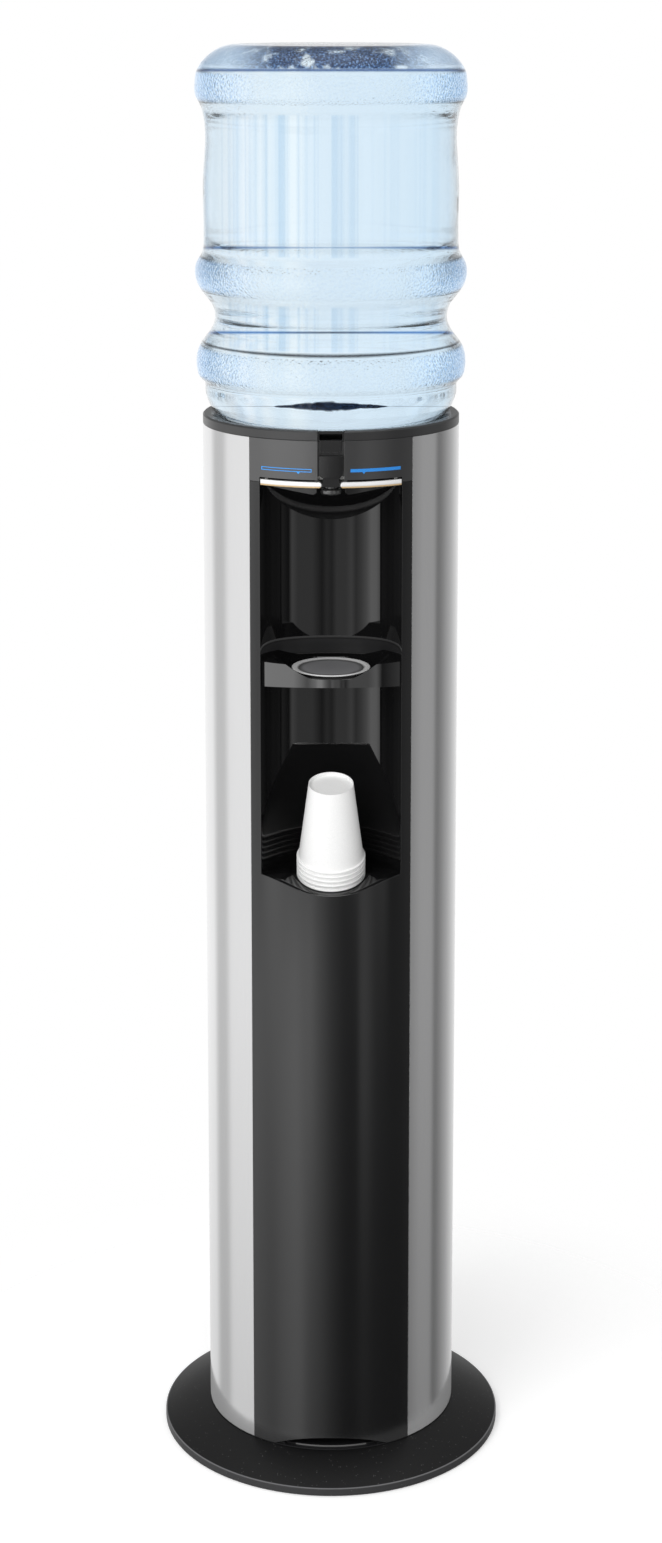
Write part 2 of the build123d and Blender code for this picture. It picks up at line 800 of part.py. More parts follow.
def side_cut(points, half_width):
    """A cutter with an outline of depth and height, across the part."""
    face = make_face(Polyline([(-half_width, y, z) for y, z in points], close=True))
    return extrude(face, amount=2 * half_width, dir=(1, 0, 0))


def make_niche_liner():
    """A half-round wall with a floor, a sloped ceiling and a ledge for the valve block."""
    lean = sqrt(1 + ceiling_slope ** 2) * liner_wall
    outer = niche_plug(liner_outer, liner_bottom, ledge_top)
    low = liner_bottom - 1
    under = [(niche_centre_y - 30, low)] + ceiling_edges(0) + [(niche_back_y + 30, low)]
    above = ceiling_edges(liner_wall)
    above[1] = (ceiling_front_y + (lean - liner_wall) / ceiling_slope, ledge_top)
    back_y = niche_back_y + 30
    above[2] = (back_y, ledge_height - (back_y - ceiling_front_y) * ceiling_slope + lean)
    above_room = side_cut(above + [(back_y, ledge_top + 50), (niche_centre_y - 30, ledge_top + 50)],
                          120)
    room = rod(niche_radius, liner_bottom + liner_wall, ledge_top, 0, niche_centre_y)
    room = room & side_cut(under, 120)
    ledge_front = ceiling_front_y - ledge_depth
    mouth = block(-200, 200, -column_radius, ledge_front, ledge_height, ledge_top + 1)
    mouth = mouth & rod(niche_radius, ledge_height - 1, ledge_top + 1, 0, niche_centre_y)
    return outer - room - above_room - mouth


def shelf_plan(radius, inset, bottom, top):
    """The shelf's footprint: the niche's round back and the column's round front."""
    plan = rod(radius, bottom, top, 0, niche_centre_y)
    plan = plan & rod(shelf_radius - inset, bottom, top)
    half = niche_half_width - seat_gap - inset
    return plan & block(-half, half, -200, 0, bottom, top)


def make_niche_shelf():
    body = shelf_plan(niche_radius - seat_gap, 0, shelf_bottom, shelf_top)
    rise = shelf_top - seat_height + 1
    cone = Pos(0, dish_y, seat_height) * Cone(seat_radius, seat_radius + rise / seat_slope, rise, align=LOW)
    pocket_top = seat_height - shelf_wall
    pocket = shelf_plan(niche_radius - seat_gap - shelf_wall, shelf_wall, shelf_bottom, pocket_top)
    half = niche_half_width
    arc = ThreePointArc((-half, 0, shelf_bottom), (0, 0, shelf_bottom + shelf_arch), (half, 0, shelf_bottom))
    arch = front_cut([arc, Line(arc @ 1, arc @ 0)], -200, 0)
    return body - cone - pocket - arch


def make_drip_dish():
    low = seat_height + 0.1
    r = dish_radius
    t = dish_wall
    top = low + dish_height
    outline = [(0, low), (r - 6, low), (r - 0.5, top - t), (r, top - 0.4), (r - 0.6, top),
               (r - 2.6, top - 0.1), (r - 7, low + t + 0.3), (0, low + t)]
    return turned(outline, 0, dish_y)


def tilted(shape):
    """A shape about its own +Z, stood on the leaning cup seat."""
    return Pos(0, dish_y, well_height) * Rot(cup_tilt, 0, 0) * shape


def make_cup_tray():
    """The niche floor, with a leaning round well for the cups and a front that dips to the lip."""
    front_radius = moulding_inner - seat_gap
    plan = rod(niche_radius - seat_gap, tray_base, tray_top + 12, 0, niche_centre_y)
    plan = plan & rod(front_radius, tray_base, tray_top + 12)
    flat = plan & block(-200, 200, -200, 0, tray_base, tray_top)
    face = make_face(lip_edges(tray_top + 60))
    aim = Vector(0, cos(radians(cup_tilt)), sin(radians(cup_tilt)))
    valley = Pos(0, -column_radius, -0.6) * extrude(face, amount=2 * column_radius, dir=aim)
    bank = tilted(rod(well_radius + well_bank, -40, 0)) & plan
    seat = tilted(rod(well_radius, 0, 60))
    pocket_top = lip_middle_height - tray_thickness - 1
    hollow = rod(niche_radius - seat_gap - tray_thickness, tray_base, pocket_top, 0, niche_centre_y)
    hollow = hollow & rod(front_radius - tray_thickness, tray_base, pocket_top)
    return (flat - valley) + bank - seat - hollow


def cup(lift):
    """An upturned paper cup: rolled rim below, recessed base above."""
    rim = cup_rim_radius - 2 * cup_roll_radius + cup_wall
    end = cup_end_radius
    wall = cup_wall
    high = cup_height
    disc = high - cup_recess
    slope = (rim - end) / high
    roll = cup_roll_radius
    start = roll
    roll_centre = rim - wall - slope * roll + roll
    outline = [
        (rim - slope * start, start), (end, high), (end - wall, high),
        (end - wall + slope * cup_recess, disc), (0, disc), (0, disc - wall),
        (end - wall + slope * (cup_recess + wall), disc - wall),
        (rim - wall - slope * start, start),
    ]
    shell = revolve(make_face(Polyline([(r, 0, z) for r, z in outline], close=True)), Axis.Z)
    rolled = revolve(make_face(Plane.XZ * Pos(roll_centre, roll) * Circle(roll).edge()), Axis.Z)
    return tilted(Pos(0, 0, lift + 0.1) * (shell + rolled))


# ---- taps --------------------------------------------------------------------------------------

def make_lever_bar():
    """The silver bar on the right lever."""
    end_x = niche_half_width - bar_end_gap
    bar = rod(column_radius, bar_bottom, bar_top) - rod(column_radius - bar_depth, bar_bottom, bar_top)
    bar = bar & block(bar_inner_end, end_x, -200, 0, bar_bottom, bar_top)
    half = (bar_top - bar_bottom) / 2
    rounding = rod_along_y(half, -200, 0, bar_inner_end + half, bar_bottom + half)
    square = block(bar_inner_end + half, end_x, -200, 0, bar_bottom, bar_top)
    return bar & (rounding + square)


def make_lever():
    """The right lever: a hub on the pin, a web with the valve rib, and a foot for the bar."""
    y = pin_y
    hub = rod_along_x(hub_radius, lever_inner, lever_outer, y, pin_height)
    web = block(lever_inner, lever_outer, y - lever_wall / 2, y + lever_wall / 2,
                bar_bottom + 1.4, pin_height)
    rib = rod_along_x(rib_radius, valve_spacing - 6, valve_spacing + 6, y + rib_y, valve_height)
    end_x = niche_half_width - bar_end_gap - 0.4
    foot = rod(column_radius - bar_depth, bar_bottom + 1.4, bar_top - 1.6)
    foot = foot & block(lever_inner - 4, end_x, -200, y + lever_wall / 2, bar_bottom, bar_top)
    skirt_line = Polyline(
        [(lever_inner - 2, 0, skirt_bottom + 2), (lever_inner - 2, 0, bar_top - 2),
         (skirt_outer, 0, bar_top - 2), (skirt_outer, 0, bar_bottom - 1.2),
         (lever_inner + 1, 0, skirt_bottom)], close=True)
    skirt_outer_radius = column_radius - bar_depth
    skirt = rod(skirt_outer_radius, skirt_bottom, bar_top)
    skirt -= rod(skirt_outer_radius - skirt_depth, skirt_bottom, bar_top)
    skirt = skirt & front_cut(skirt_line, -200, 0)
    lever = hub + web + rib + foot + skirt
    return lever - rod_along_x(pin_radius + running_gap, 0, 100, y, pin_height)


def make_lever_pin():
    end = lever_outer + 4
    return rod_along_x(pin_radius, -end, end, pin_y, pin_height)


def make_lever_bracket():
    """Ears for the pin, joined by a bridge over the valve block."""
    ear_in = lever_outer + 0.8
    ear_out = ear_in + 3
    top = pin_height + 6
    bridge_low = valve_height + valve_bore + 4.5
    ledge_end = ceiling_front_y - 1
    ear = block(ear_in, ear_out, pin_y - 5, ledge_end, bridge_low, top)
    leg = block(ear_in, ear_out, ceiling_front_y - ledge_depth, ledge_end, ledge_top, top)
    sides = both_sides(ear + leg)
    middle = block(-3, 3, pin_y - 5, ledge_end, bridge_low, top)
    bridge = block(-ear_out, ear_out, ledge_end - 10, ledge_end, bridge_low, bridge_low + 2.5)
    bracket = middle + bridge + sides
    return bracket - rod_along_x(pin_radius + running_gap, -100, 100, pin_y, pin_height)


def make_valve_block():
    """Two horizontal valve bores, and an arm that feeds the spout."""
    half = valve_spacing + 12
    top = valve_height + valve_bore + 4.2
    body = block(-half, half, valve_front_y, valve_back_y, valve_block_bottom, top)
    body += block(-spout_arm_half_width, spout_arm_half_width, spout_joint_y, valve_front_y,
                  valve_block_bottom, valve_height)
    cross_y = valve_front_y + 12
    body -= rod_along_y(feed_bore, spout_joint_y, cross_y + 1, z=feed_height)
    body -= rod_along_x(cross_bore, -valve_spacing - 2, valve_spacing + 2, cross_y, feed_height)
    for x in (-valve_spacing, valve_spacing):
        body -= rod_along_y(valve_bore + running_gap, valve_front_y, valve_front_y + valve_bore_depth,
                            x, valve_height)
        body -= rod_along_y(hose_bore, valve_front_y, valve_back_y, x, valve_height)
    return body


def make_plunger(x):
    stem = rod_along_y(plunger_stem, plunger_front_y, valve_front_y + piston_inset + 1, x, valve_height)
    piston_start = valve_front_y + piston_inset
    return stem + rod_along_y(valve_bore, piston_start, piston_start + piston_length, x, valve_height)


def make_valve_spring(x):
    room_start = valve_front_y + piston_inset + piston_length + spring_wire + 0.1
    room_end = valve_front_y + valve_bore_depth - spring_wire - 0.1
    pitch = (room_end - room_start) / spring_turns
    spring = coil(valve_bore - 1.2, pitch, spring_turns, 0, spring_wire)
    return Pos(x, room_start, valve_height) * Rot(-90, 0, 0) * spring


def make_spout_block():
    """The block in the channel, and its arm down and back to the nozzle."""
    half = spout_half_width
    front_radius = column_radius - 0.8
    floor_y = -column_radius + channel_depth - seat_gap
    low = slot_top + 2.2
    head = block(-half, half, -200, floor_y, low, spout_top)
    corners = head.edges().filter_by(Axis.Y).group_by(Axis.Z)[0]
    head = fillet(corners, spout_corner) & rod(front_radius, low, spout_top)
    arm_half = spout_arm_half_width
    arm = block(-arm_half, arm_half, -column_radius + 4, spout_joint_y, spout_arm_bottom, low)
    neck = block(-arm_half, arm_half, -column_radius + 4, floor_y, low, low + 4)
    spout = head + arm + neck
    spout -= rod_along_y(feed_bore, nozzle_y, spout_joint_y, z=feed_height)
    return spout - rod(nozzle_bore, spout_arm_bottom, feed_height + 1, 0, nozzle_y)


def make_nozzle():
    lip = nozzle_lip
    low = nozzle_bottom
    top = low + nozzle_lip_height
    band = turned([(nozzle_bore, low), (lip, low), (lip, top), (nozzle_bore, top)])
    outer = [edge for edge in band.edges().filter_by(GeomType.CIRCLE) if edge.radius > lip - 0.01]
    band = fillet(outer, nozzle_round)
    neck = turned([(nozzle_bore, low), (nozzle_neck, low), (nozzle_neck, spout_arm_bottom),
                   (nozzle_bore, spout_arm_bottom)])
    return Pos(0, nozzle_y, 0) * (band + neck)


def make_spout_cover():
    """The blanking cover above the spout block, with a deep window under its top bar."""
    half = channel_half_width - seat_gap
    panel_half = spout_half_width - cover_side
    front = -column_radius + 5
    floor_y = -column_radius + channel_depth - seat_gap
    upper_back = front + 2.6
    lower = block(-panel_half, panel_half, front, floor_y, cover_bottom, panel_top)
    lip = block(-panel_half, panel_half, front - 0.8, front, cover_bottom, cover_bottom + 1.1)
    upper = block(-half, half, front, upper_back, panel_top - 1, cover_top)
    window_half = half - 1.4
    window = block(-window_half, window_half, front - 1, upper_back + 1, panel_top, cover_top - cover_bar)
    return lower + lip + upper - window


# ---- bottle and feed ---------------------------------------------------------------------------

def bottle_points():
    """The bottle's outside: reach past the shoulder's end, and height over the collar."""
    waist = 5.2
    ring = 23.3
    belt = 16.0
    rises = [
        (6.6, 1.7), (12.6, 13.1), (15.2, 24.1), (15.8, 32.1),
        (21.2, 38.1), (ring, 44.1), (ring, 60.1), (19.6, 70.1),
        (10.6, 82.1), (waist, 94.1), (waist + 0.4, 104.1), (10.6, 114.6),
        (19.2, 125.6), (ring, 134.1), (ring - 0.4, 153.1), (17.6, 162.6),
        (belt, 173.1), (belt, 237.1), (belt, 301.1), (18.8, 309.6),
        (23.0, 318.1), (ring + 0.3, 333.1), (22.0, 342.6), (17.4, 350.6),
        (9.0, 359.1), (-4.0, 366.3), (-16.0, 368.6),
    ]
    side = [(shoulder_end_radius + out, collar_top + rise) for out, rise in rises]
    return [(shoulder_end_radius, shoulder_height(shoulder_end_radius))] + side


def inset_points(points, wall):
    """The outline moved inwards, square to itself, by the wall."""
    moved = []
    for index, (r, z) in enumerate(points):
        before = points[max(index - 1, 0)]
        after = points[min(index + 1, len(points) - 1)]
        dr = after[0] - before[0]
        dz = after[1] - before[1]
        length = hypot(dr, dz)
        moved.append((r - wall * dz / length, z + wall * dr / length))
    return moved


def bottle_side(points, wall):
    """Outline edges of the bottle's outside, or of its inside when a wall is given."""
    side = inset_points(points, wall) if wall else points
    neck = bottle_neck_radius - wall
    top = points[-1][1] - wall
    lean = 0.6 * wall
    foot_radius = shoulder_start_radius - lean
    foot = (foot_radius, 0, shoulder_height(shoulder_start_radius) + wall)
    curve = Spline([(r, 0, z) for r, z in side])
    bend = (neck + 2.2, 0, foot[2] - 6.5)
    neck_top = (neck, 0, foot[2] - 14)
    return [
        Line((neck, 0, bottle_neck_end), neck_top),
        ThreePointArc(neck_top, bend, foot),
        Line(foot, curve @ 0),
        curve,
        Line(curve @ 1, (0, 0, top)),
        Line((0, 0, top), (0, 0, bottle_neck_end)),
        Line((0, 0, bottle_neck_end), (neck, 0, bottle_neck_end)),
    ]


def make_bottle():
    points = bottle_points()
    outside = revolve(make_face(bottle_side(points, 0)), Axis.Z)
    inside = revolve(make_face(bottle_side(points, bottle_wall)), Axis.Z)
    return outside - inside


def make_bottle_cap():
    inner = bottle_neck_radius + running_gap
    outer = inner + cap_wall
    low = bottle_neck_end - cap_wall
    top = low + cap_height
    return turned([
        (cap_hole, low), (outer, low), (outer, top), (inner, top),
        (inner, bottle_neck_end), (cap_hole, bottle_neck_end),
    ])


def cap_radius():
    return bottle_neck_radius + running_gap + cap_wall


def well_inner_radius():
    return cap_radius() + 1.5


def well_outer_radius():
    return well_inner_radius() + well_wall


def neck_well_bottom():
    return bottle_neck_end - cap_wall - 6


def make_neck_well():
    """The cup round the neck, hung in the collar's sleeve, that catches a spill."""
    inner = well_inner_radius()
    outer = well_outer_radius()
    low = neck_well_bottom()
    top = shoulder_start_height - 12
    return turned([
        (probe_radius + running_gap, low), (outer, low), (outer, top), (inner, top),
        (inner, low + well_wall), (probe_radius + running_gap, low + well_wall),
    ])


def make_feed_probe():
    """The hollow spike that opens the cap and carries water down to the reservoir."""
    low = neck_well_bottom()
    flange_low = low + well_wall
    flange_radius = 20.0
    tip = 5.0
    outline = [
        (probe_bore, probe_bottom), (probe_radius, probe_bottom), (probe_radius, flange_low),
        (flange_radius, flange_low), (flange_radius, flange_low + 1.5), (probe_radius, flange_low + 1.5),
        (probe_radius, probe_top - tip), (2.0, probe_top), (0, probe_top), (0, probe_top - 3),
        (probe_bore, probe_top - tip - 3),
    ]
    probe = turned(outline)
    window_z = probe_top - 14
    probe -= rod_along_x(2.5, -20, 20, 0, window_z)
    return probe - rod_along_y(2.5, -20, 20, 0, window_z)


# ---- cooling -----------------------------------------------------------------------------------

def stub_aim(side):
    """Unit direction of an outlet on the right (1) or left (-1) of the reservoir."""
    return (side * sin(radians(stub_angle)), -cos(radians(stub_angle)))


def stub(radius, start, end, height, side):
    """A short radial cylinder on the reservoir."""
    turn = Rot(0, 0, side * stub_angle)
    return Pos(0, reservoir_y, 0) * turn * rod_along_y(radius, -end, -start, z=height)


def stub_end(height, side):
    aim = stub_aim(side)
    reach = reservoir_radius + stub_length
    return (aim[0] * reach, reservoir_y + aim[1] * reach, height)


def stubs():
    """Height and side of the cold outlet and of the room-temperature outlet."""
    return [(cold_stub_height, 1), (ambient_stub_height, -1)]


def make_reservoir():
    r = reservoir_radius
    w = reservoir_wall
    shell = turned([
        (0, reservoir_bottom), (r, reservoir_bottom), (r, reservoir_top - w),
        (reservoir_flange, reservoir_top - w), (reservoir_flange, reservoir_top),
        (r - w, reservoir_top), (r - w, reservoir_bottom + w), (0, reservoir_bottom + w),
    ], 0, reservoir_y)
    for height, side in stubs():
        shell += stub(stub_radius, r - w / 2, r + stub_length, height, side)
        shell -= stub(hose_bore, r - 5, r + stub_length, height, side)
    return shell


def make_reservoir_lid():
    lid = rod(reservoir_flange, reservoir_top, reservoir_top + lid_thickness, 0, reservoir_y)
    return lid - rod(probe_radius + 0.5, reservoir_top, reservoir_top + lid_thickness)


def make_baffle():
    """The disc that keeps cold water below, on a stem from the reservoir's floor."""
    radius = reservoir_radius - reservoir_wall - baffle_gap
    disc = rod(radius, baffle_height, baffle_height + 2, 0, reservoir_y)
    stem = rod(4, reservoir_bottom + reservoir_wall, baffle_height, 0, reservoir_y)
    return disc + stem - rod(6, baffle_height, baffle_height + 2, 0, reservoir_y + 28)


def make_evaporator_coil():
    tube = coil(coil_radius, coil_pitch, coil_turns, coil_bottom, coil_tube, start=pi / 2)
    return Pos(0, reservoir_y, 0) * mirror(tube, about=Plane.YZ)


def make_insulation(side):
    """One foam half round the reservoir, with channels for the pipes."""
    low = deck_height + deck_wall
    high = reservoir_top - reservoir_wall - seat_gap
    foam = rod(insulation_outer, low, high, 0, reservoir_y)
    foam -= rod(insulation_inner, reservoir_bottom, high, 0, reservoir_y)
    foam = foam & block(min(0, side * 100), max(0, side * 100), -100, 200, low, high)
    for height, channel_side in ((coil_bottom, -1), (coil_top, 1)):
        x_range = sorted((0, channel_side * 100))
        foam -= block(*x_range, coil_back_y - 4, coil_back_y + 4, height - 4, height + 4)
    for height, stub_side in stubs():
        foam -= stub(stub_radius + seat_gap, reservoir_radius - 2, insulation_outer + 2, height, stub_side)
    return foam


def make_reservoir_deck():
    """The steel shelf that carries the reservoir, between the posts."""
    radius = front_post_outer - post_wall - seat_gap
    top = deck_height + deck_wall
    deck = rod(radius, deck_height, top)
    deck -= rod(liner_outer + seat_gap, deck_height, top, 0, niche_centre_y)
    for start, end in ((front_post_end - 2.2, front_post_end + 0.8),
                       (rear_post_start - 0.8, rear_post_start + 2.2)):
        for part in both_sides(curved_wall(radius - 16, radius + 6, deck_height, top, start, end)):
            deck -= part
    for x in (-side_pipe_x, side_pipe_x):
        deck -= block(x - 6, x + 6, coil_back_y - 12, coil_back_y + 10, deck_height, top)
    return deck


def grommet_spots():
    return [(x, compressor_y + y) for x in (-grommet_x, grommet_x) for y in (-grommet_y, grommet_y)]


def make_compressor():
    """The hermetic compressor: a domed can on a foot plate, with two pipe stubs."""
    r = compressor_radius
    foot_top = compressor_foot_height + compressor_foot
    foot = block(-grommet_x - 10, grommet_x + 10, compressor_y - grommet_y - 10,
                 compressor_y + grommet_y + 10, compressor_foot_height, foot_top)
    for x, y in grommet_spots():
        foot -= rod(bolt_radius + 0.1, compressor_foot_height, foot_top, x, y)
    can = rod(r, foot_top, compressor_top, 0, compressor_y)
    can = fillet(can.edges().filter_by(GeomType.CIRCLE).group_by(Axis.Z)[-1], r * 0.45)
    body = foot + can
    body += rod_along_x(pipe_radius + 1, -r - 10, -r + 5, compressor_y, discharge_height)
    end = compressor_y + r
    return body + rod_along_y(suction_radius + 1, end - 5, end + 9, 0, suction_height)


def make_compressor_grommets():
    grommets = []
    for x, y in grommet_spots():
        ring = rod(grommet_radius, plinth_floor_top, compressor_foot_height, x, y)
        grommets.append(ring - rod(bolt_radius + 0.1, plinth_floor_top, compressor_foot_height, x, y))
    return grommets


def make_compressor_bolts():
    head_low = compressor_foot_height + compressor_foot
    bolts = []
    for x, y in grommet_spots():
        shank = rod(bolt_radius, plinth_floor_top, head_low, x, y)
        head = Pos(x, y, head_low) * extrude(RegularPolygon(5.2, 6), amount=4)
        bolts.append(shank + head)
    return bolts


def make_relay_cover():
    start = compressor_radius + seat_gap
    cover = block(start, start + 20, compressor_y - 22, compressor_y + 22,
                  compressor_top - relay_low, compressor_top - relay_high)
    return fillet(cover.edges().filter_by(Axis.Z), 3)


def condenser_path():
    """Side-to-side passes that climb, joined by half-round bends."""
    half = condenser_half_width
    bend = condenser_pitch / 2
    y = condenser_y
    edges = []
    side = -1
    edges.append(Line((-half - 8, y, condenser_bottom), (-half, y, condenser_bottom)).edge())
    for index in range(condenser_passes):
        z = condenser_bottom + index * condenser_pitch
        edges.append(Line((side * half, y, z), (-side * half, y, z)).edge())
        side = -side
        if index < condenser_passes - 1:
            tip = (side * (half + bend), y, z + bend)
            after = (side * half, y, z + condenser_pitch)
            edges.append(ThreePointArc((side * half, y, z), tip, after).edge())
    last = condenser_bottom + (condenser_passes - 1) * condenser_pitch
    edges.append(Line((-half, y, last), (-half - 8, y, last)).edge())
    return Wire(edges), last


def make_condenser():
    """Tube with upright wires and two straps that reach the rear posts."""
    path, last = condenser_path()
    plane = Plane(origin=path @ 0, z_dir=path % 0)
    tube = sweep(plane * Circle(condenser_tube), path=path)
    wire_y = condenser_y + condenser_tube + wire_size / 2 - 0.4
    half = condenser_half_width
    wires = []
    for index in range(wire_count):
        x = -half + index * 2 * half / (wire_count - 1)
        wires.append(block(x - wire_size / 2, x + wire_size / 2, wire_y - wire_size / 2,
                           wire_y + wire_size / 2, condenser_bottom - 12, last + 12))
    strap_y = wire_y + wire_size / 2 - 0.2
    reach = sqrt((rear_post_outer - post_wall - seat_gap) ** 2 - (strap_y + 1.5) ** 2)
    for z in (condenser_bottom + 1.5 * condenser_pitch - 7, last - 1.5 * condenser_pitch - 7):
        wires.append(block(-reach, reach, strap_y, strap_y + 1.5, z, z + 14))
    return tube + wires


def make_filter_drier():
    """The drier and the pipe that feeds it from the condenser."""
    x = -side_pipe_x
    y = condenser_y
    r = drier_radius
    body = turned([
        (0, drier_bottom), (pipe_radius, drier_bottom), (r, drier_bottom + 12), (r, drier_top - 12),
        (pipe_radius, drier_top), (0, drier_top),
    ], x, y)
    start = (-condenser_half_width - 8, y, condenser_bottom)
    feed = pipe([start, (x, y, condenser_bottom), (x, y, drier_top - 1)], pipe_radius, 5)
    return body + feed


def make_discharge_pipe():
    half = condenser_half_width
    top = condenser_bottom + (condenser_passes - 1) * condenser_pitch
    low = discharge_height
    points = [
        (-compressor_radius - 10, compressor_y, low), (-riser_x, compressor_y, low),
        (-riser_x, riser_y, low), (-riser_x, riser_y, top),
        (-side_pipe_x - 4, condenser_y, top), (-half - 8, condenser_y, top),
    ]
    return pipe(points, pipe_radius, pipe_bend)


def make_capillary_tube():
    x = -side_pipe_x
    y = coil_back_y - 6
    low = drier_bottom
    points = [
        (x, condenser_y, low), (x, condenser_y, low - 22), (x, y, low - 22), (x, y, coil_bottom),
        (x + 25, coil_back_y, coil_bottom), (-seat_gap, coil_back_y, coil_bottom),
    ]
    return pipe(points, capillary_radius, pipe_bend - 2)


def make_suction_pipe():
    x = side_pipe_x
    y = coil_back_y + 2
    low = suction_height
    points = [
        (seat_gap, coil_back_y, coil_top), (x - 25, coil_back_y, coil_top), (x, y, coil_top),
        (x, y, low), (0, y, low), (0, compressor_y + compressor_radius + 9, low),
    ]
    return pipe(points, suction_radius, 6)


def make_water_hose(height, side):
    """A silicone hose from a reservoir outlet to its valve."""
    x0, y0, _ = stub_end(height, side)
    aim = stub_aim(side)
    turn_out = (x0 + aim[0] * hose_turn, y0 + aim[1] * hose_turn, height)
    rise_top = (turn_out[0] + side * 2, turn_out[1] - 4, valve_height - hose_drop)
    valve_x = side * valve_spacing
    points = [
        (x0, y0, height), turn_out, rise_top,
        (valve_x, valve_back_y + hose_lead, valve_height), (valve_x, valve_back_y, valve_height),
    ]
    return pipe(points, hose_radius, 9, hose_bore)


# ---- controls ----------------------------------------------------------------------------------

def make_thermostat():
    z = thermostat_height
    face_y = sheet_inner - 5
    body = block(-22, 22, face_y - 26, face_y, z - 18, z + 18)
    body += rod_along_y(8, face_y, sheet_inner - seat_gap, z=z)
    return body - rod_along_y(knob_shaft + running_gap, face_y - 6, sheet_inner, z=z)


def make_thermostat_knob():
    z = thermostat_height
    front = knob_back_y + knob_depth
    grip = rod_along_y(knob_radius - 2, knob_back_y, front, z=z)
    grip += rod_along_y(knob_radius, knob_back_y, knob_back_y + 3, z=z)
    groove = rod_along_y(1.2, knob_back_y + 3, front, x=knob_radius - 1.4)
    for index in range(12):
        grip -= Pos(0, 0, z) * Rot(0, index * 30, 0) * groove
    pointer = block(-0.8, 0.8, front, front + 0.6, z + 2, z + knob_radius - 4)
    shaft = rod_along_y(knob_shaft, sheet_inner - 10.5, knob_back_y, z=z)
    return grip + pointer + shaft


def make_mains_inlet():
    """The three-pin appliance inlet."""
    z = inlet_height
    half = inlet_width / 2
    tall = inlet_tall / 2
    face = column_radius + seat_gap
    flange = block(-half - 6, half + 6, face, face + inlet_flange, z - tall - 4, z + tall + 4)
    flange = fillet(flange.edges().filter_by(Axis.Y), 3)
    body = flange + block(-half, half, face - 26, face, z - tall, z + tall)
    body -= block(-12.2, 12.2, face - 16, face + inlet_flange, z - 8.2, z + 8.2)
    for x, lift in ((-7.0, -2.0), (0.0, 2.0), (7.0, -2.0)):
        body += block(x - 1, x + 1, face - 17, face - 3, z + lift - 2, z + lift + 2)
    return body


def rocker_axis_y():
    return column_radius + seat_gap + 2 - 5.5


def make_switch_frame():
    z = switch_height
    half = switch_width / 2
    tall = switch_tall / 2
    face = column_radius + seat_gap
    flange = block(-half, half, face, face + 2, z - tall, z + tall)
    body = flange + block(-half + 2, half - 2, face - 20, face, z - tall + 2, z + tall - 2)
    bore_half = rocker_half_width + 0.4
    axis = rocker_axis_y()
    return body - block(-bore_half, bore_half, axis - 8.4, face + 2, z - 8.4, z + 8.4) + rod_along_x(
        1.2, -bore_half - 1, bore_half + 1, axis, z)


def make_switch_rocker():
    """The rocker, resting tipped to its on side."""
    r = rocker_radius
    half = rocker_half_width
    drum = rod_along_x(r, -half, half)
    rise = r * tan(radians(rocker_tilt))
    shape = [(-r - 1, -r - 1), (2.6 + rise, -r), (2.6, 0), (2.6 + rise, r), (-r - 1, r + 1)]
    face = make_face(Polyline([(-half, y, z) for y, z in shape], close=True))
    keep = extrude(face, amount=2 * half, dir=(1, 0, 0))
    rocker = (drum & keep) - rod_along_x(1.2 + running_gap, -half, half)
    return Pos(0, rocker_axis_y(), switch_height) * Rot(rocker_tilt, 0, 0) * rocker


# ---- write every node --------------------------------------------------------------------------

os.makedirs("parts", exist_ok=True)

save("base_plate", make_base_plate())
save("foot_pads", *make_foot_pads())
save("base_screws", *make_base_screws())
save("plinth", make_plinth())
save("front_posts", *make_front_posts())
save("rear_posts", *make_rear_posts())

right_panel, left_panel = both_sides(make_side_panel())
save("side_panel_right", right_panel)
save("side_panel_left", left_panel)
save("rear_panel", make_rear_panel())
save("rear_panel_screws", *make_rear_panel_screws())
save("front_panel", make_front_panel())
save("tap_fascia", make_tap_fascia())
save("temperature_marks", *make_temperature_marks())
save("collar", make_collar())

save("niche_liner", make_niche_liner())
save("niche_shelf", make_niche_shelf())
save("drip_dish", make_drip_dish())
save("cup_tray", make_cup_tray())
save("cup_stack", *[cup(index * cup_pitch) for index in range(cups_in_stack)])
save("top_cup", cup(cups_in_stack * cup_pitch))

right_bar, left_bar = both_sides(make_lever_bar())
save("lever_bar_right", right_bar)
save("lever_bar_left", left_bar)
right_lever, left_lever = both_sides(make_lever())
save("lever_right", right_lever)
save("lever_left", left_lever)
save("lever_pin", make_lever_pin())
save("lever_bracket", make_lever_bracket())
save("valve_block", make_valve_block())
for name, side in (("right", 1), ("left", -1)):
    save(f"valve_plunger_{name}", make_plunger(side * valve_spacing))
    save(f"valve_spring_{name}", make_valve_spring(side * valve_spacing))
save("spout_block", make_spout_block())
save("nozzle", make_nozzle())
save("spout_cover", make_spout_cover())

save("bottle", make_bottle())
save("bottle_cap", make_bottle_cap())
save("neck_well", make_neck_well())
save("feed_probe", make_feed_probe())

save("reservoir", make_reservoir())
save("reservoir_lid", make_reservoir_lid())
save("baffle", make_baffle())
save("evaporator_coil", make_evaporator_coil())
save("insulation_right", make_insulation(1))
save("insulation_left", make_insulation(-1))
save("reservoir_deck", make_reservoir_deck())
save("compressor", make_compressor())
save("compressor_grommets", *make_compressor_grommets())
save("compressor_bolts", *make_compressor_bolts())
save("relay_cover", make_relay_cover())
save("condenser", make_condenser())
save("filter_drier", make_filter_drier())
save("discharge_pipe", make_discharge_pipe())
save("capillary_tube", make_capillary_tube())
save("suction_pipe", make_suction_pipe())
save("water_hoses", *[make_water_hose(height, side) for height, side in stubs()])

save("thermostat", make_thermostat())
save("thermostat_knob", make_thermostat_knob())
save("mains_inlet", make_mains_inlet())
save("switch_frame", make_switch_frame())
save("switch_rocker", make_switch_rocker())

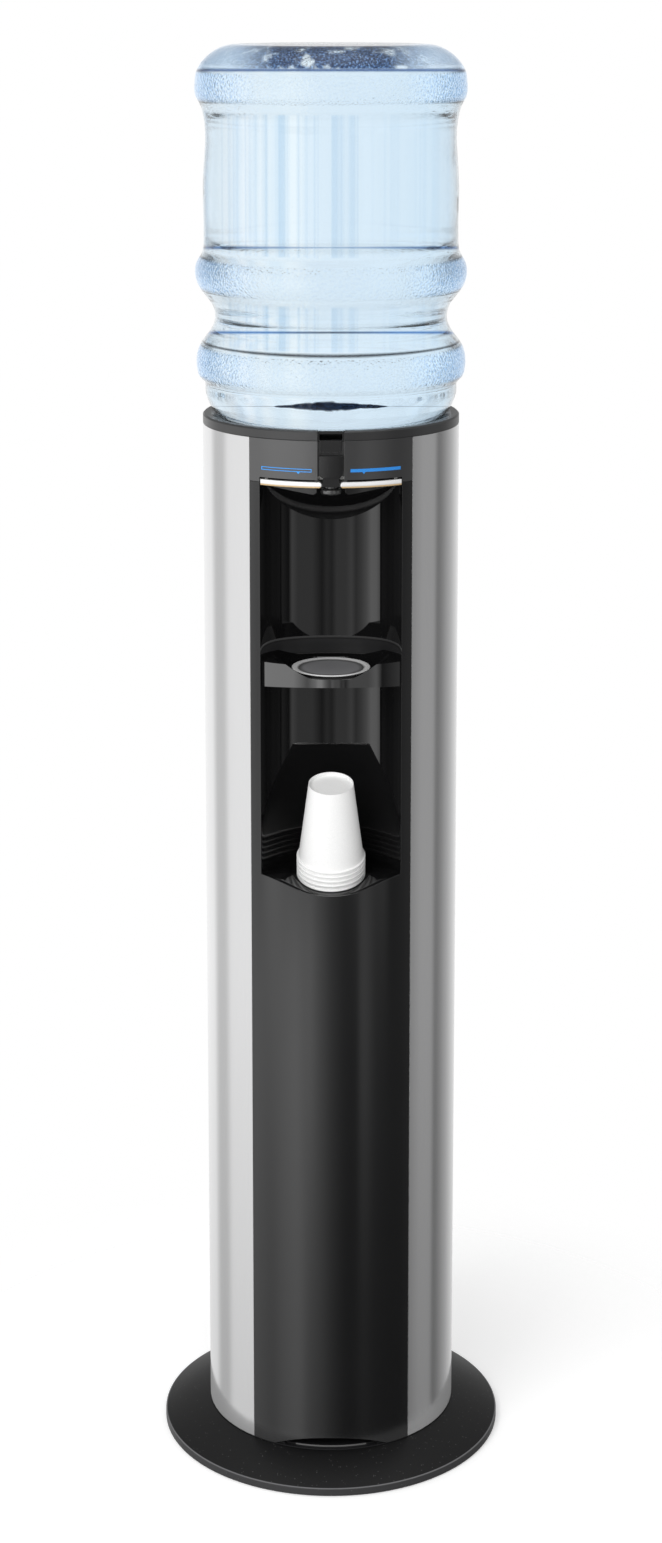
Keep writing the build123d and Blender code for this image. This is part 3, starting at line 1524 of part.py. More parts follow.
print("plunger travel", round(plunger_travel, 3), "well height", round(well_height, 2))
print("ledge", round(ledge_height, 2), "rocker axis y", rocker_axis_y())
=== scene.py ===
# %% [markdown]
# # A bottle-fed water cooler
# The machine is a round steel column on a wide base plate, with a water bottle turned over on its top.
# Its construction comes packed, one mesh for each real piece, and those meshes keep their shape here.
# This lesson adds the finishes, the studio and the few pieces that a lathe or a mould would round off.
# Lengths are metres, +Z is up, and the front of the machine faces -Y.

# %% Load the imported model
import math

import bmesh
import bpy
import numpy as np
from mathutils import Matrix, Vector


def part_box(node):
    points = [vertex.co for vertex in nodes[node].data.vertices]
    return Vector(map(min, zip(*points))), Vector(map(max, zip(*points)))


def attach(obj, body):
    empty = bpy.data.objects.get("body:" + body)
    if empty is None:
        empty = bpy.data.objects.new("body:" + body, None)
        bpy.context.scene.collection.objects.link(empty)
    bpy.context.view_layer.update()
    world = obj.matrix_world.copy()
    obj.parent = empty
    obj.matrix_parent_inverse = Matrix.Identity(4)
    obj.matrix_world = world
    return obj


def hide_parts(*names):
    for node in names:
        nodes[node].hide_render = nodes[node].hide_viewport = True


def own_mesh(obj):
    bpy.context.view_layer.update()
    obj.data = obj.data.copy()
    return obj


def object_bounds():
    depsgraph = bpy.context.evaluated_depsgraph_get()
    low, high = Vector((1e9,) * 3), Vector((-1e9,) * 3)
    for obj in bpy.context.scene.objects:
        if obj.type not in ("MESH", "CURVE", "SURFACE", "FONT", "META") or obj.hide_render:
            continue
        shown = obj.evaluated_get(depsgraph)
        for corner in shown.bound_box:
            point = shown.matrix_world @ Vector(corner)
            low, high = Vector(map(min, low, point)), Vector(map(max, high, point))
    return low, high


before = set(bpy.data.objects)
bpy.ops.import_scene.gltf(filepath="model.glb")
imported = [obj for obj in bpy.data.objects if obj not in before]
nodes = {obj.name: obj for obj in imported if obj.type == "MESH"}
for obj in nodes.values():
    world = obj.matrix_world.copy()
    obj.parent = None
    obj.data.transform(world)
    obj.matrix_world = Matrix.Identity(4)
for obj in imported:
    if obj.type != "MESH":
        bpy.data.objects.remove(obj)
cad_low, cad_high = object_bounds()
print("pieces in the model:", len(nodes))
print("whole size in mm:", [round(1000 * v) for v in (cad_high - cad_low)])

# %% [markdown]
# ## The camera
# A product photographer stands back and looks slightly down, so that upright edges stay almost parallel.
# The lens is worked out from the photograph's own circles: how much flatter the collar's ellipse looks
# than the base plate's gives the height and the distance. The picture was cropped below its middle, so
# the lens is shifted down instead of being tipped further, which would make the column lean.

# %% Place the camera
PHOTO_HEIGHT = 1543
FOCAL_PIXELS = 2777.8
HORIZON_CENTRE_Y = 473.4
SENSOR = 36.0
CAMERA_PLACE = (0, -2.7903, 1.5172)
CAMERA_DIP_DEGREES = 9.93

camera_data = bpy.data.cameras.new("camera")
camera = bpy.data.objects.new("camera", camera_data)
bpy.context.scene.collection.objects.link(camera)
bpy.context.scene.camera = camera
camera_data.sensor_width = SENSOR
camera_data.lens = FOCAL_PIXELS / PHOTO_HEIGHT * SENSOR
camera_data.shift_y = (HORIZON_CENTRE_Y - PHOTO_HEIGHT / 2) / PHOTO_HEIGHT
camera.location = CAMERA_PLACE
camera.rotation_euler = (math.radians(90 - CAMERA_DIP_DEGREES), 0, 0)
print("lens in mm:", round(camera_data.lens, 2), "shift:", round(camera_data.shift_y, 4))

# %% [markdown]
# ## Small helpers
# A material or a world is a tree of nodes. Making each node by hand takes four lines of code, so a few
# helpers do it in one: add a node with its inputs, do one sum with numbers or vectors, stretch a range,
# run a value through a ramp of greys or colours, blend two colours, ask for the place on the piece, and
# draw noise over it. Everything later is built from these.

# %% Helpers for shader nodes
def add_node(tree, kind, inputs=None, **settings):
    """Add a node, set its properties, and fill or link the named inputs."""
    made = tree.nodes.new(kind)
    for key, value in settings.items():
        setattr(made, key, value)
    for key, value in (inputs or {}).items():
        if isinstance(value, bpy.types.NodeSocket):
            tree.links.new(value, made.inputs[key])
        else:
            made.inputs[key].default_value = value
    return made


def calculate(tree, operation, first, second=0.0, third=0.0):
    """One arithmetic step, given as sockets or numbers."""
    made = add_node(tree, "ShaderNodeMath", {0: first, 1: second, 2: third}, operation=operation)
    return made.outputs[0]


def vector_step(tree, operation, first, second=(0, 0, 0)):
    """One step with vectors, or a vector and a number for SCALE; lengths and distances are numbers."""
    inputs = {0: first, 3 if operation == "SCALE" else 1: second}
    made = add_node(tree, "ShaderNodeVectorMath", inputs, operation=operation)
    return made.outputs["Value" if operation in ("LENGTH", "DISTANCE") else "Vector"]


def stretch(tree, value, low, high, first=0.0, last=1.0, **settings):
    """Turn the range from low to high into the range from first to last, and hold it at its ends."""
    inputs = {0: value, 1: low, 2: high, 3: first, 4: last}
    return add_node(tree, "ShaderNodeMapRange", inputs, **settings).outputs[0]


def ramp(tree, value, stops):
    """A colour ramp from pairs of position and colour or grey."""
    made = add_node(tree, "ShaderNodeValToRGB", {"Fac": value})
    elements = made.color_ramp.elements
    while len(elements) < len(stops):
        elements.new(0.5)
    for element, (position, shade) in zip(elements, sorted(stops)):
        element.position = position
        element.color = (*shade, 1) if hasattr(shade, "__len__") else (shade, shade, shade, 1)
    return made.outputs["Color"]


def mix_colour(tree, factor, first, second):
    """Blend two colours by a factor."""
    made = tree.nodes.new("ShaderNodeMix")
    made.data_type = "RGBA"
    for index, value in ((0, factor), (6, first), (7, second)):
        if isinstance(value, bpy.types.NodeSocket):
            tree.links.new(value, made.inputs[index])
        else:
            made.inputs[index].default_value = value if index == 0 else (*value, 1)
    return made.outputs[2]


def object_place(tree):
    """The place on the piece in metres, as a vector."""
    return add_node(tree, "ShaderNodeTexCoord").outputs["Object"]


def split(tree, vector):
    """The three parts of a vector, by their letters."""
    return add_node(tree, "ShaderNodeSeparateXYZ", {0: vector}).outputs


def from_axis(tree, centre=(0, 0, 0)):
    """The level distance from the upright line through a centre, whose height is nought."""
    level = vector_step(tree, "MULTIPLY", object_place(tree), (1, 1, 0))
    return vector_step(tree, "DISTANCE", level, centre)


def noise(tree, place, scale, detail, dimensions="3D"):
    """Cloudy noise from nought to one over a place, which is one number when the noise is 1D."""
    inputs = {"W" if dimensions == "1D" else "Vector": place, "Scale": scale, "Detail": detail}
    return add_node(tree, "ShaderNodeTexNoise", inputs, noise_dimensions=dimensions).outputs["Fac"]


HELPERS = (add_node, calculate, vector_step, stretch, ramp, mix_colour, object_place, split, from_axis, noise)
print("helpers:", [helper.__name__ for helper in HELPERS])

# %% [markdown]
# ## The studio
# Satin steel has no colour of its own: what the eye reads as steel is the room that it mirrors. An
# upright cylinder turns the whole room into upright streaks, so the room is described by its direction
# round the column alone: a wide lit panel at the front left, a dark gap to its right, a bright wall
# behind the left side and a dimmer one behind the right. Rays that scatter get a plain, even light, so
# that paper and plastic keep the colour that is written for them. The camera itself sees plain white.

# %% Write down the room
# Pairs of direction and brightness: degrees round the column from the front, towards the right.
LEFT_WALL = ((-180, 1.0), (-138, 0.95), (-128, 0.60), (-114, 0.60), (-106, 0.88), (-80, 0.90))
RIGHT_WALL = (
    (80, 0.22), (88, 0.34), (107, 0.34), (112, 0.16), (119, 0.22), (128, 0.34), (138, 0.46),
    (148, 0.62), (180, 1.0),
)
FRONT_HIGH = (
    (-70, 0.350), (-60, 1.000), (-52, 1.050), (-45, 0.625), (-38, 0.380), (-31, 0.230),
    (-25, 0.450), (-18, 0.310), (-7, 0.310), (-1, 0.125), (5, 0.200), (11, 0.075),
    (17, 0.190), (23, 0.300), (42, 0.300), (50, 0.480), (55, 0.025),
)
FRONT_MIDDLE = (
    (-70, 0.950), (-61, 0.900), (-46, 1.150), (-33, 1.475), (-26, 1.175), (-19, 1.350),
    (-12, 0.825), (-5, 0.540), (2, 0.300), (8, 0.175), (15, 0.100), (25, 0.030),
    (28, 0.550), (33, 0.550), (42, 0.150), (52, 0.090), (72, 0.090),
)
FRONT_LOW = (
    (-70, 0.700), (-57, 0.575), (-50, 0.750), (-43, 0.875), (-33, 1.025), (-28, 0.975),
    (-22, 0.600), (-15, 0.500), (-8, 0.390), (-2, 0.245), (5, 0.145), (12, 0.060),
    (20, 0.050), (30, 0.100), (40, 0.060), (72, 0.050),
)
ROOM_GAIN = 1.5
# Where one list gives way to another: the upward part of the direction at the start and at the end.
LOW_TO_MIDDLE = (-0.440, -0.345)
MIDDLE_TO_HIGH = (-0.325, -0.300)
HIGH_TO_MIDDLE = (-0.174, -0.168)
WALL_TO_CEILING = (0.04, 0.25)
# Pairs of steepness and brightness, downward for the walls and upward for the ceiling.
WALL_FADE = ((0.34, 1.0), (0.46, 0.8), (0.51, 0.72), (0.56, 0.05), (1.0, 0.05))
CEILING = ((0.25, 0.22), (0.86, 0.24), (0.95, 1.0), (1.0, 1.0))
# Scattered light: how it falls off towards the right, and what it is in the middle.
SCATTER_SLOPE, SCATTER_MIDDLE = -0.16, 0.62
print("directions in the room:", len(LEFT_WALL + FRONT_HIGH + FRONT_MIDDLE + FRONT_LOW + RIGHT_WALL))

# %% [markdown]
# ### From a list to a lit world
# The world's shader knows only the direction of a ray. Its turn round the column picks a place in the
# list, and its upward part picks which of the three lists is used, because the lit panel is only as high
# as a real one. Steeply upward the room is a dim ceiling, and steeply downward it is the dark floor
# under the overhangs.

# %% Light the studio
scene = bpy.context.scene
world = bpy.data.worlds.new("studio")
scene.world = world
world.use_nodes = True
tree = world.node_tree
tree.nodes.clear()
ray = add_node(tree, "ShaderNodeLightPath")
direction = split(tree, add_node(tree, "ShaderNodeTexCoord").outputs["Generated"])
ahead = calculate(tree, "MULTIPLY", direction["Y"], -1.0)
turn = calculate(tree, "ARCTAN2", direction["X"], ahead)
share = calculate(tree, "MULTIPLY_ADD", turn, 1 / (2 * math.pi), 0.5)
rise = direction["Z"]


def streaks(front):
    """The room's brightness round the column, with one of the three front walls."""
    walls = LEFT_WALL + front + RIGHT_WALL
    return ramp(tree, share, [(angle / 360 + 0.5, value / ROOM_GAIN) for angle, value in walls])


def between(low, high):
    """A smooth step over the upward part of the direction."""
    return stretch(tree, rise, low, high, interpolation_type="SMOOTHSTEP")


middle = streaks(FRONT_MIDDLE)
walls = mix_colour(tree, between(*LOW_TO_MIDDLE), streaks(FRONT_LOW), middle)
walls = mix_colour(tree, between(*MIDDLE_TO_HIGH), walls, streaks(FRONT_HIGH))
walls = mix_colour(tree, between(*HIGH_TO_MIDDLE), walls, middle)
fade = ramp(tree, calculate(tree, "MULTIPLY", rise, -1.0), WALL_FADE)
walls = vector_step(tree, "MULTIPLY", walls, fade)
room = mix_colour(tree, between(*WALL_TO_CEILING), walls, ramp(tree, rise, CEILING))
mirrored = vector_step(tree, "SCALE", room, ROOM_GAIN)
side_light = calculate(tree, "MULTIPLY_ADD", direction["X"], SCATTER_SLOPE, SCATTER_MIDDLE)
scattered = add_node(tree, "ShaderNodeCombineXYZ", dict.fromkeys(range(3), side_light))
lit = mix_colour(tree, ray.outputs["Is Glossy Ray"], scattered.outputs[0], mirrored)
print("nodes that make the room:", len(tree.nodes))

# %% [markdown]
# ## What shows through the water
# A full bottle is a lens: it turns the wall behind it round, left to right, and squeezes the whole half
# of the room into its width. So the wall behind is given soft upright bands of white and pale blue, and
# they come back as the upright streaks in the water. The camera itself sees plain white.

# %% Paint the wall behind
BEHIND = (
    (-180, (0.84, 0.92, 0.98)), (-150, (0.78, 0.89, 0.97)), (-118, (0.74, 0.87, 0.97)),
    (-104, (0.52, 0.70, 0.90)), (-98, (0.80, 0.90, 0.97)), (98, (0.80, 0.90, 0.97)),
    (104, (0.62, 0.78, 0.93)), (112, (0.97, 0.99, 1.0)), (130, (0.84, 0.91, 0.96)),
    (149, (0.92, 0.93, 0.93)), (154, (0.80, 0.88, 0.95)), (158, (1.0, 1.0, 1.0)),
    (161, (0.80, 0.89, 0.96)), (164, (0.98, 1.0, 1.0)), (168, (0.82, 0.91, 0.97)),
    (172, (0.97, 1.0, 1.0)), (176, (0.83, 0.91, 0.97)), (180, (0.84, 0.92, 0.98)),
)
behind = ramp(tree, share, [(angle / 360 + 0.5, shade) for angle, shade in BEHIND])
shade = mix_colour(tree, ray.outputs["Is Transmission Ray"], lit, behind)
shade = mix_colour(tree, ray.outputs["Is Camera Ray"], shade, (1, 1, 1))
background = add_node(tree, "ShaderNodeBackground", {"Color": shade})
add_node(tree, "ShaderNodeOutputWorld", {"Surface": background.outputs[0]})

scene.view_settings.view_transform = "Standard"
print("bands behind the bottle:", len(BEHIND))


# %% [markdown]
# ## Lamps and floor
# Three soft boxes stand where the photographer's stood: a large one high on the left, a weak one on the
# right, and a small low one that reaches the cups inside the niche. They light the object but do not
# show in its polish, because the painted room does that. The floor is a pale disc that fades out before
# its rim, so that only the soft shadow round the plate is left of it.

# %% Hang the lamps and lay the floor
def lamp(name, size, power, place, aim):
    """A square soft box at a place, turned towards a point."""
    data = bpy.data.lights.new(name, "AREA")
    data.size = size
    data.energy = power
    made = bpy.data.objects.new(name, data)
    made.visible_glossy = False
    made.visible_transmission = False
    scene.collection.objects.link(made)
    made.location = place
    back = np.array(place, float) - np.array(aim, float)
    flat = math.hypot(back[0], back[1])
    made.rotation_euler = (math.atan2(flat, back[2]), 0, math.atan2(back[0], -back[1]))


lamp("key_light", 1.6, 46, (-1.7, -2.3, 2.7), (0, 0, 0.8))
lamp("fill_light", 1.2, 10, (2.2, -1.6, 1.6), (0, 0, 0.8))
lamp("niche_light", 0.5, 4, (-0.3, -1.5, 0.75), (0, 0, 0.62))

FLOOR_RADIUS, FLOOR_GAP = 0.7, 0.0005
FADE_START, FADE_END = 0.24, 0.60
angles = np.linspace(0, 2 * math.pi, 96, endpoint=False)
rim = np.stack([FLOOR_RADIUS * np.cos(angles), FLOOR_RADIUS * np.sin(angles), 0 * angles], axis=1)
floor_mesh = bpy.data.meshes.new("floor")
floor_mesh.from_pydata(rim.tolist(), [], [list(range(len(rim)))])
floor = bpy.data.objects.new("floor", floor_mesh)
scene.collection.objects.link(floor)
floor.location.z = cad_low.z - FLOOR_GAP
floor.visible_glossy = False

# The floor fades out towards its rim, and the camera alone sees it a little brighter than it is lit.
floor_paint = bpy.data.materials.new("floor_paint")
floor_paint.use_nodes = True
tree = floor_paint.node_tree
shader = tree.nodes["Principled BSDF"]
shader.inputs["Base Color"].default_value = (0.86, 0.86, 0.86, 1)
shader.inputs["Roughness"].default_value = 0.9
shader.inputs["Emission Strength"].default_value = 0.34
seen = add_node(tree, "ShaderNodeLightPath").outputs["Is Camera Ray"]
tree.links.new(seen, shader.inputs["Emission Color"])
fade = stretch(tree, from_axis(tree), FADE_START, FADE_END, 1.0, 0.0, interpolation_type="SMOOTHSTEP")
tree.links.new(fade, shader.inputs["Alpha"])
floor_mesh.materials.append(floor_paint)

# %% [markdown]
# ## Effects that several finishes share
# Three small node groups carry the surface texture. Moulded grain is the fine, even roughness that a
# spark-eroded mould leaves on plastic. Brushed lines are the upright scratches of drawn steel. Specks
# are the pale flecks in a powder-coated plate. Each gives numbers, colours or normals only, and the
# shader stays in the material, where each finish sets its own gloss.

# %% Build the shared groups
FLOAT, VECTOR = "NodeSocketFloat", "NodeSocketVector"


def start_group(name, inputs, outputs):
    """A node group with float inputs (name, default) and the named outputs; Normal is a vector."""
    group = bpy.data.node_groups.new(name, "ShaderNodeTree")
    for label, default in inputs:
        socket = group.interface.new_socket(label, in_out="INPUT", socket_type=FLOAT)
        socket.default_value = default
    if "Normal" in outputs:
        group.interface.new_socket("Normal", in_out="INPUT", socket_type=VECTOR)
    for label in outputs:
        kind = VECTOR if label == "Normal" else FLOAT
        group.interface.new_socket(label, in_out="OUTPUT", socket_type=kind)
    return group, group.nodes.new("NodeGroupInput").outputs, group.nodes.new("NodeGroupOutput").inputs


def roughen(group, entry, leave, height, cloud):
    """End a group: a cloud varies the roughness, and a height makes the bump."""
    rough = calculate(group, "MULTIPLY_ADD", cloud, entry["Spread"], entry["Roughness"])
    bump = add_node(group, "ShaderNodeBump", {"Height": height, "Distance": entry["Depth"], "Strength": 1.0,
                                              "Normal": entry["Normal"]})
    group.links.new(rough, leave["Roughness"])
    group.links.new(bump.outputs[0], leave["Normal"])


def grain_group():
    """Fine noise as a bump, and slow noise that varies the roughness."""
    defaults = (("Scale", 1400), ("Depth", 0.00002), ("Roughness", 0.4), ("Spread", 0.06))
    group, entry, leave = start_group("moulded_grain", defaults, ("Roughness", "Normal"))
    place = object_place(group)
    fine = add_node(group, "ShaderNodeTexNoise", {"Vector": place, "Scale": entry["Scale"],
                                                  "Detail": 2.0, "Roughness": 0.6})
    slow = noise(group, place, 9.0, 3.0)
    roughen(group, entry, leave, fine.outputs["Fac"], calculate(group, "SUBTRACT", slow, 0.5))
    return group


def brushed_group():
    """Noise drawn out along the height: lines round the column that change slowly upwards."""
    defaults = (("Lines", 900), ("Depth", 0.00001), ("Roughness", 0.25), ("Spread", 0.1))
    group, entry, leave = start_group("brushed_lines", defaults, ("Roughness", "Normal", "Shade"))
    place = object_place(group)
    drawn = add_node(group, "ShaderNodeMapping", {"Vector": place, "Scale": (1, 1, 0.02)})
    lines = noise(group, drawn.outputs[0], entry["Lines"], 3.0)
    both = calculate(group, "ADD", lines, noise(group, place, 5.0, 2.0))
    roughen(group, entry, leave, lines, calculate(group, "SUBTRACT", both, 1.0))
    group.links.new(lines, leave["Shade"])
    return group


def speck_group():
    """A mask of scattered pale flecks: the few cells of a fine pattern that are lighter than a limit."""
    group, entry, leave = start_group("specks", (("Scale", 700), ("Amount", 0.06)), ("Mask",))
    cells = add_node(group, "ShaderNodeTexVoronoi", {"Vector": object_place(group), "Scale": entry["Scale"]})
    grey = add_node(group, "ShaderNodeSeparateColor", {0: cells.outputs["Color"]})
    chosen = calculate(group, "LESS_THAN", grey.outputs[0], entry["Amount"])
    near = calculate(group, "LESS_THAN", cells.outputs["Distance"], 0.35)
    group.links.new(calculate(group, "MULTIPLY", chosen, near), leave["Mask"])
    return group


moulded_grain = grain_group()
brushed_lines = brushed_group()
specks = speck_group()
print("shared groups:", [g.name for g in bpy.data.node_groups])


# %% [markdown]
# ## Two families of finish
# Nearly every piece is either moulded or drawn from metal, and a function makes a material of each
# family. Plastic gets a colour that drifts a little and a fine grain; metal gets a mirror colour with
# brushed lines. Where an edge is given, the surface's direction is turned softly over the sharp edges of
# the mesh, so that they catch a thin line of light as a real, slightly rounded edge does.

# %% A material to start from
def use_group(tree, group, edge=None, **values):
    """Place a shared group in a material with its own values.

    With an edge radius it is given the surface's direction, turned softly over the edges; a radius of
    nought leaves the direction as it is.
    """
    made = add_node(tree, "ShaderNodeGroup", node_tree=group)
    for key, value in values.items():
        made.inputs[key].default_value = value
    if edge is not None:
        tree.links.new(surface_normal(tree, edge), made.inputs["Normal"])
    return made


def surface_normal(tree, edge):
    """The surface's own direction, turned softly over its edges when an edge radius is given."""
    if edge:
        return add_node(tree, "ShaderNodeBevel", {"Radius": edge}, samples=6).outputs[0]
    return add_node(tree, "ShaderNodeNewGeometry").outputs["Normal"]


def start_material(name, **sockets):
    """A material whose Principled shader has these plain values; returns it with its tree and shader."""
    material = bpy.data.materials.new(name)
    material.use_nodes = True
    tree = material.node_tree
    shader = tree.nodes["Principled BSDF"]
    for key, value in sockets.items():
        label = key.replace("_", " ")
        shader.inputs[label].default_value = (*value, 1) if hasattr(value, "__len__") else value
    return material, tree, shader


def dress(tree, shader, paint, texture):
    """Link a colour to the shader, unless it keeps its plain one, and a group's roughness and normal."""
    if paint is not None:
        tree.links.new(paint, shader.inputs["Base Color"])
    for label in ("Roughness", "Normal"):
        tree.links.new(texture.outputs[label], shader.inputs[label])


def shades(tree, value, colour, tint):
    """The colour, made a little darker or lighter by a value from 0.3 to 0.7."""
    dark = tuple(c * (1 - tint) for c in colour)
    light = tuple(min(1, c * (1 + tint)) for c in colour)
    return ramp(tree, value, ((0.3, dark), (0.7, light)))


def plastic(name, colour, roughness, depth=0.00002, scale=1400, spread=0.06, tint=0.06, edge=0.0,
            shine=1.5):
    """Moulded plastic or rubber: one colour that drifts a little, with moulded grain.

    The shine is the index of refraction: 1.5 mirrors 4 percent of the room, and lacquered 1.8 twice that.
    """
    material, tree, shader = start_material(name, IOR=shine)
    grain = use_group(tree, moulded_grain, edge, Scale=scale, Depth=depth, Roughness=roughness,
                      Spread=spread)
    drift = noise(tree, object_place(tree), 14.0, 4.0)
    dress(tree, shader, shades(tree, drift, colour, tint), grain)
    return material


def metal(name, colour, roughness, depth=0.00001, lines=900, spread=0.1, tint=0.05, edge=0.0):
    """Drawn or brushed metal: mirror colour with fine upright lines."""
    material, tree, shader = start_material(name, Metallic=1.0)
    brush = use_group(tree, brushed_lines, edge, Lines=lines, Depth=depth, Roughness=roughness,
                      Spread=spread)
    dress(tree, shader, shades(tree, brush.outputs["Shade"], colour, tint), brush)
    return material


def finish_nodes(material, *names):
    """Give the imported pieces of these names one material."""
    for name in names:
        mesh = nodes[name].data
        mesh.materials.clear()
        mesh.materials.append(material)


print("families of finish:", plastic.__name__, metal.__name__)

# %% [markdown]
# ## The steel sides and the dark front
# The two side panels are satin steel: a plain mirror colour, roughened just enough that the room's
# edges melt into soft streaks. The front is moulded in charcoal plastic with a fine grain, so it mirrors
# only a few percent of the room, and the same streaks come back faint and dark.

# %% Finish the casing
LACQUER = 1.8
FRONT_BLACK = (0.0065, 0.0066, 0.0069)
MOULDED_BLACK = (0.022, 0.0222, 0.023)
NICHE_BLACK = (0.006, 0.006, 0.0063)
# The painted highlight along the edge of the plinth's floor: its radius, half its width, and the depth that
# it stays in front of.
HIGHLIGHT_RADIUS, HIGHLIGHT_HALF_WIDTH, HIGHLIGHT_FRONT = 0.12415, 0.0002, -0.1188

silver_steel = metal("silver_steel", (0.84, 0.84, 0.845), 0.15, depth=0.000004, lines=1500, spread=0.05,
                     tint=0.015, edge=0.0009)
finish_nodes(silver_steel, "side_panel_left", "side_panel_right")

charcoal = plastic("charcoal_plastic", FRONT_BLACK, 0.17, depth=0.000006, scale=2200,
                   spread=0.04, edge=0.0007, shine=LACQUER)
finish_nodes(charcoal, "front_panel")

collar_plastic = plastic("collar_plastic", MOULDED_BLACK, 0.34, depth=0.00001, scale=1800,
                         edge=0.0007, shine=LACQUER)
finish_nodes(collar_plastic, "collar")

fascia_plastic = plastic("fascia_plastic", MOULDED_BLACK, 0.32, depth=0.00001, scale=1800,
                         edge=0.0007, shine=LACQUER)
fascia_plastic.node_tree.nodes["Principled BSDF"].inputs["Specular IOR Level"].default_value = 0.92
finish_nodes(fascia_plastic, "tap_fascia")


def plinth_finish():
    """Black paint, with a pale painted highlight line along the floor's edge that shows under the middle of
    the front panel.
    """
    material, tree, shader = start_material("plinth_paint")
    # A thin pale band at one radius, at the front only: the painted highlight on the floor's edge.
    on_line = calculate(tree, "COMPARE", from_axis(tree), HIGHLIGHT_RADIUS, HIGHLIGHT_HALF_WIDTH)
    ahead = calculate(tree, "LESS_THAN", split(tree, object_place(tree))["Y"], HIGHLIGHT_FRONT)
    line = calculate(tree, "MULTIPLY", on_line, ahead)
    paint = mix_colour(tree, line, (0.012, 0.012, 0.013), (0.16, 0.16, 0.16))
    grain = use_group(tree, moulded_grain, 0.0, Scale=900, Depth=0.00003, Roughness=0.45, Spread=0.06)
    dress(tree, shader, paint, grain)
    return material


finish_nodes(plinth_finish(), "plinth")

rear_paint = plastic("rear_paint", (0.03, 0.03, 0.032), 0.45, depth=0.00003, scale=900)
finish_nodes(rear_paint, "rear_panel")
print("casing pieces in steel:", [name for name in nodes if nodes[name].active_material == silver_steel])

# %% [markdown]
# ## The base plate
# The plate is a heavy pressed disc with a textured black powder coat. Close to, the coat sparkles: tiny
# grains catch the light, so a few pale specks are mixed into the black.

# %% Finish the base plate
# Pairs of place and painted highlight over the outermost part of the radius.
RIM_WIDTH = 0.003
RIM_HIGHLIGHT = ((0.0, 0.0), (0.45, 0.0), (0.62, 1.0), (0.86, 1.0), (0.97, 0.28), (1.0, 0.28))


def plate_coat():
    """Black powder coat with pale specks and a pebbly bump, a painted highlight on the rim, and a paler
    painted colour where it is mirrored.
    """
    material, tree, shader = start_material("plate_coat", Specular_IOR_Level=0.3)
    fleck = use_group(tree, specks, Scale=620, Amount=0.035)
    grain = use_group(tree, moulded_grain, 0.0009, Scale=900, Depth=0.00006, Roughness=0.42, Spread=0.1)
    paint = mix_colour(tree, fleck.outputs["Mask"], (0.0055, 0.0055, 0.0058), (0.06, 0.06, 0.06))
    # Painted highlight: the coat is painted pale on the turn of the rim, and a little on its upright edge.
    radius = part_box("base_plate")[1].x
    share = stretch(tree, from_axis(tree), radius - RIM_WIDTH, radius)
    paint = mix_colour(tree, ramp(tree, share, RIM_HIGHLIGHT), paint, (0.15, 0.15, 0.155))
    # Painted reflection: in mirrored rays the plate is given a paler colour, so the casing mirrors it paler
    # than the eye sees it.
    mirrored = add_node(tree, "ShaderNodeLightPath").outputs["Is Glossy Ray"]
    paint = mix_colour(tree, mirrored, paint, (0.32, 0.32, 0.32))
    dress(tree, shader, paint, grain)
    return material


finish_nodes(plate_coat(), "base_plate")
rubber = plastic("rubber", (0.02, 0.02, 0.02), 0.7, depth=0.00005, scale=700)
finish_nodes(rubber, "foot_pads", "compressor_grommets")
print("plate finish:", nodes["base_plate"].active_material.name)

# %% [markdown]
# ## The niche
# Everything inside the niche is gloss-black plastic, polished like a piano. Its curved wall mirrors the
# room through the opening, which is where the tall grey streaks come from. A large moulding is never
# quite true, so the wall's and the shelf's upright faces lean a little in the shader, and that moves
# the streaks sideways.

# %% Finish the niche
# A face counts as upright when its direction rises or falls by less than this.
UPRIGHT = 0.15
# Pairs of place along X and share of the lean, for the shelf's front.
SHELF_BOW = ((-0.015, 1.0), (0.02, -0.15))

gloss_black = plastic("gloss_black", NICHE_BLACK, 0.03, depth=0.0, spread=0.01, edge=0.0005,
                      shine=LACQUER)
finish_nodes(gloss_black, "cup_tray")


def leaning_gloss(name, level, lean, bow=((-1, 1.0), (1, 1.0))):
    """Gloss black whose upright faces are polished a little out of true, leaning by this vector.

    The bow gives two places along X and the share of the lean at each, which changes evenly between.
    """
    material, tree, shader = start_material(name, Base_Color=NICHE_BLACK, Specular_IOR_Level=level,
                                            IOR=LACQUER)
    normal = surface_normal(tree, 0.0)
    upright = calculate(tree, "LESS_THAN", calculate(tree, "ABSOLUTE", split(tree, normal)["Z"]), UPRIGHT)
    (start, first), (end, last) = bow
    share = stretch(tree, split(tree, object_place(tree))["X"], start, end, first, last)
    turned = vector_step(tree, "SCALE", lean, calculate(tree, "MULTIPLY", upright, share))
    aim = vector_step(tree, "NORMALIZE", vector_step(tree, "ADD", normal, turned))
    grain = use_group(tree, moulded_grain, Scale=1400, Depth=0.0, Roughness=0.02, Spread=0.01)
    tree.links.new(aim, grain.inputs["Normal"])
    dress(tree, shader, None, grain)
    return material


finish_nodes(leaning_gloss("liner_black", 0.5, (0, -0.35, 0)), "niche_liner")
finish_nodes(leaning_gloss("shelf_black", 1.0, (-0.5, 0, 0), SHELF_BOW), "niche_shelf")
print("niche finishes:", [nodes[name].active_material.name for name in ("niche_liner", "niche_shelf")])

# %% [markdown]
# ## The tap
# The spout block, its cover and the two levers are the niche's black, a little less polished. The
# nozzle between them is the one part that hands touch and cloths rub, so it shines most.

# %% Finish the tap
tap_black = plastic("tap_black", NICHE_BLACK, 0.14, depth=0.0, spread=0.03, edge=0.0006,
                    shine=LACQUER)
finish_nodes(tap_black, "spout_block", "spout_cover", "lever_left", "lever_right")
nozzle_black = plastic("nozzle_black", (0.20, 0.20, 0.20), 0.12, depth=0.0, spread=0.03, edge=0.0008)
nozzle_black.node_tree.nodes["Principled BSDF"].inputs["Metallic"].default_value = 0.8
finish_nodes(nozzle_black, "nozzle")
print("tap finish:", nodes["nozzle"].active_material.name)
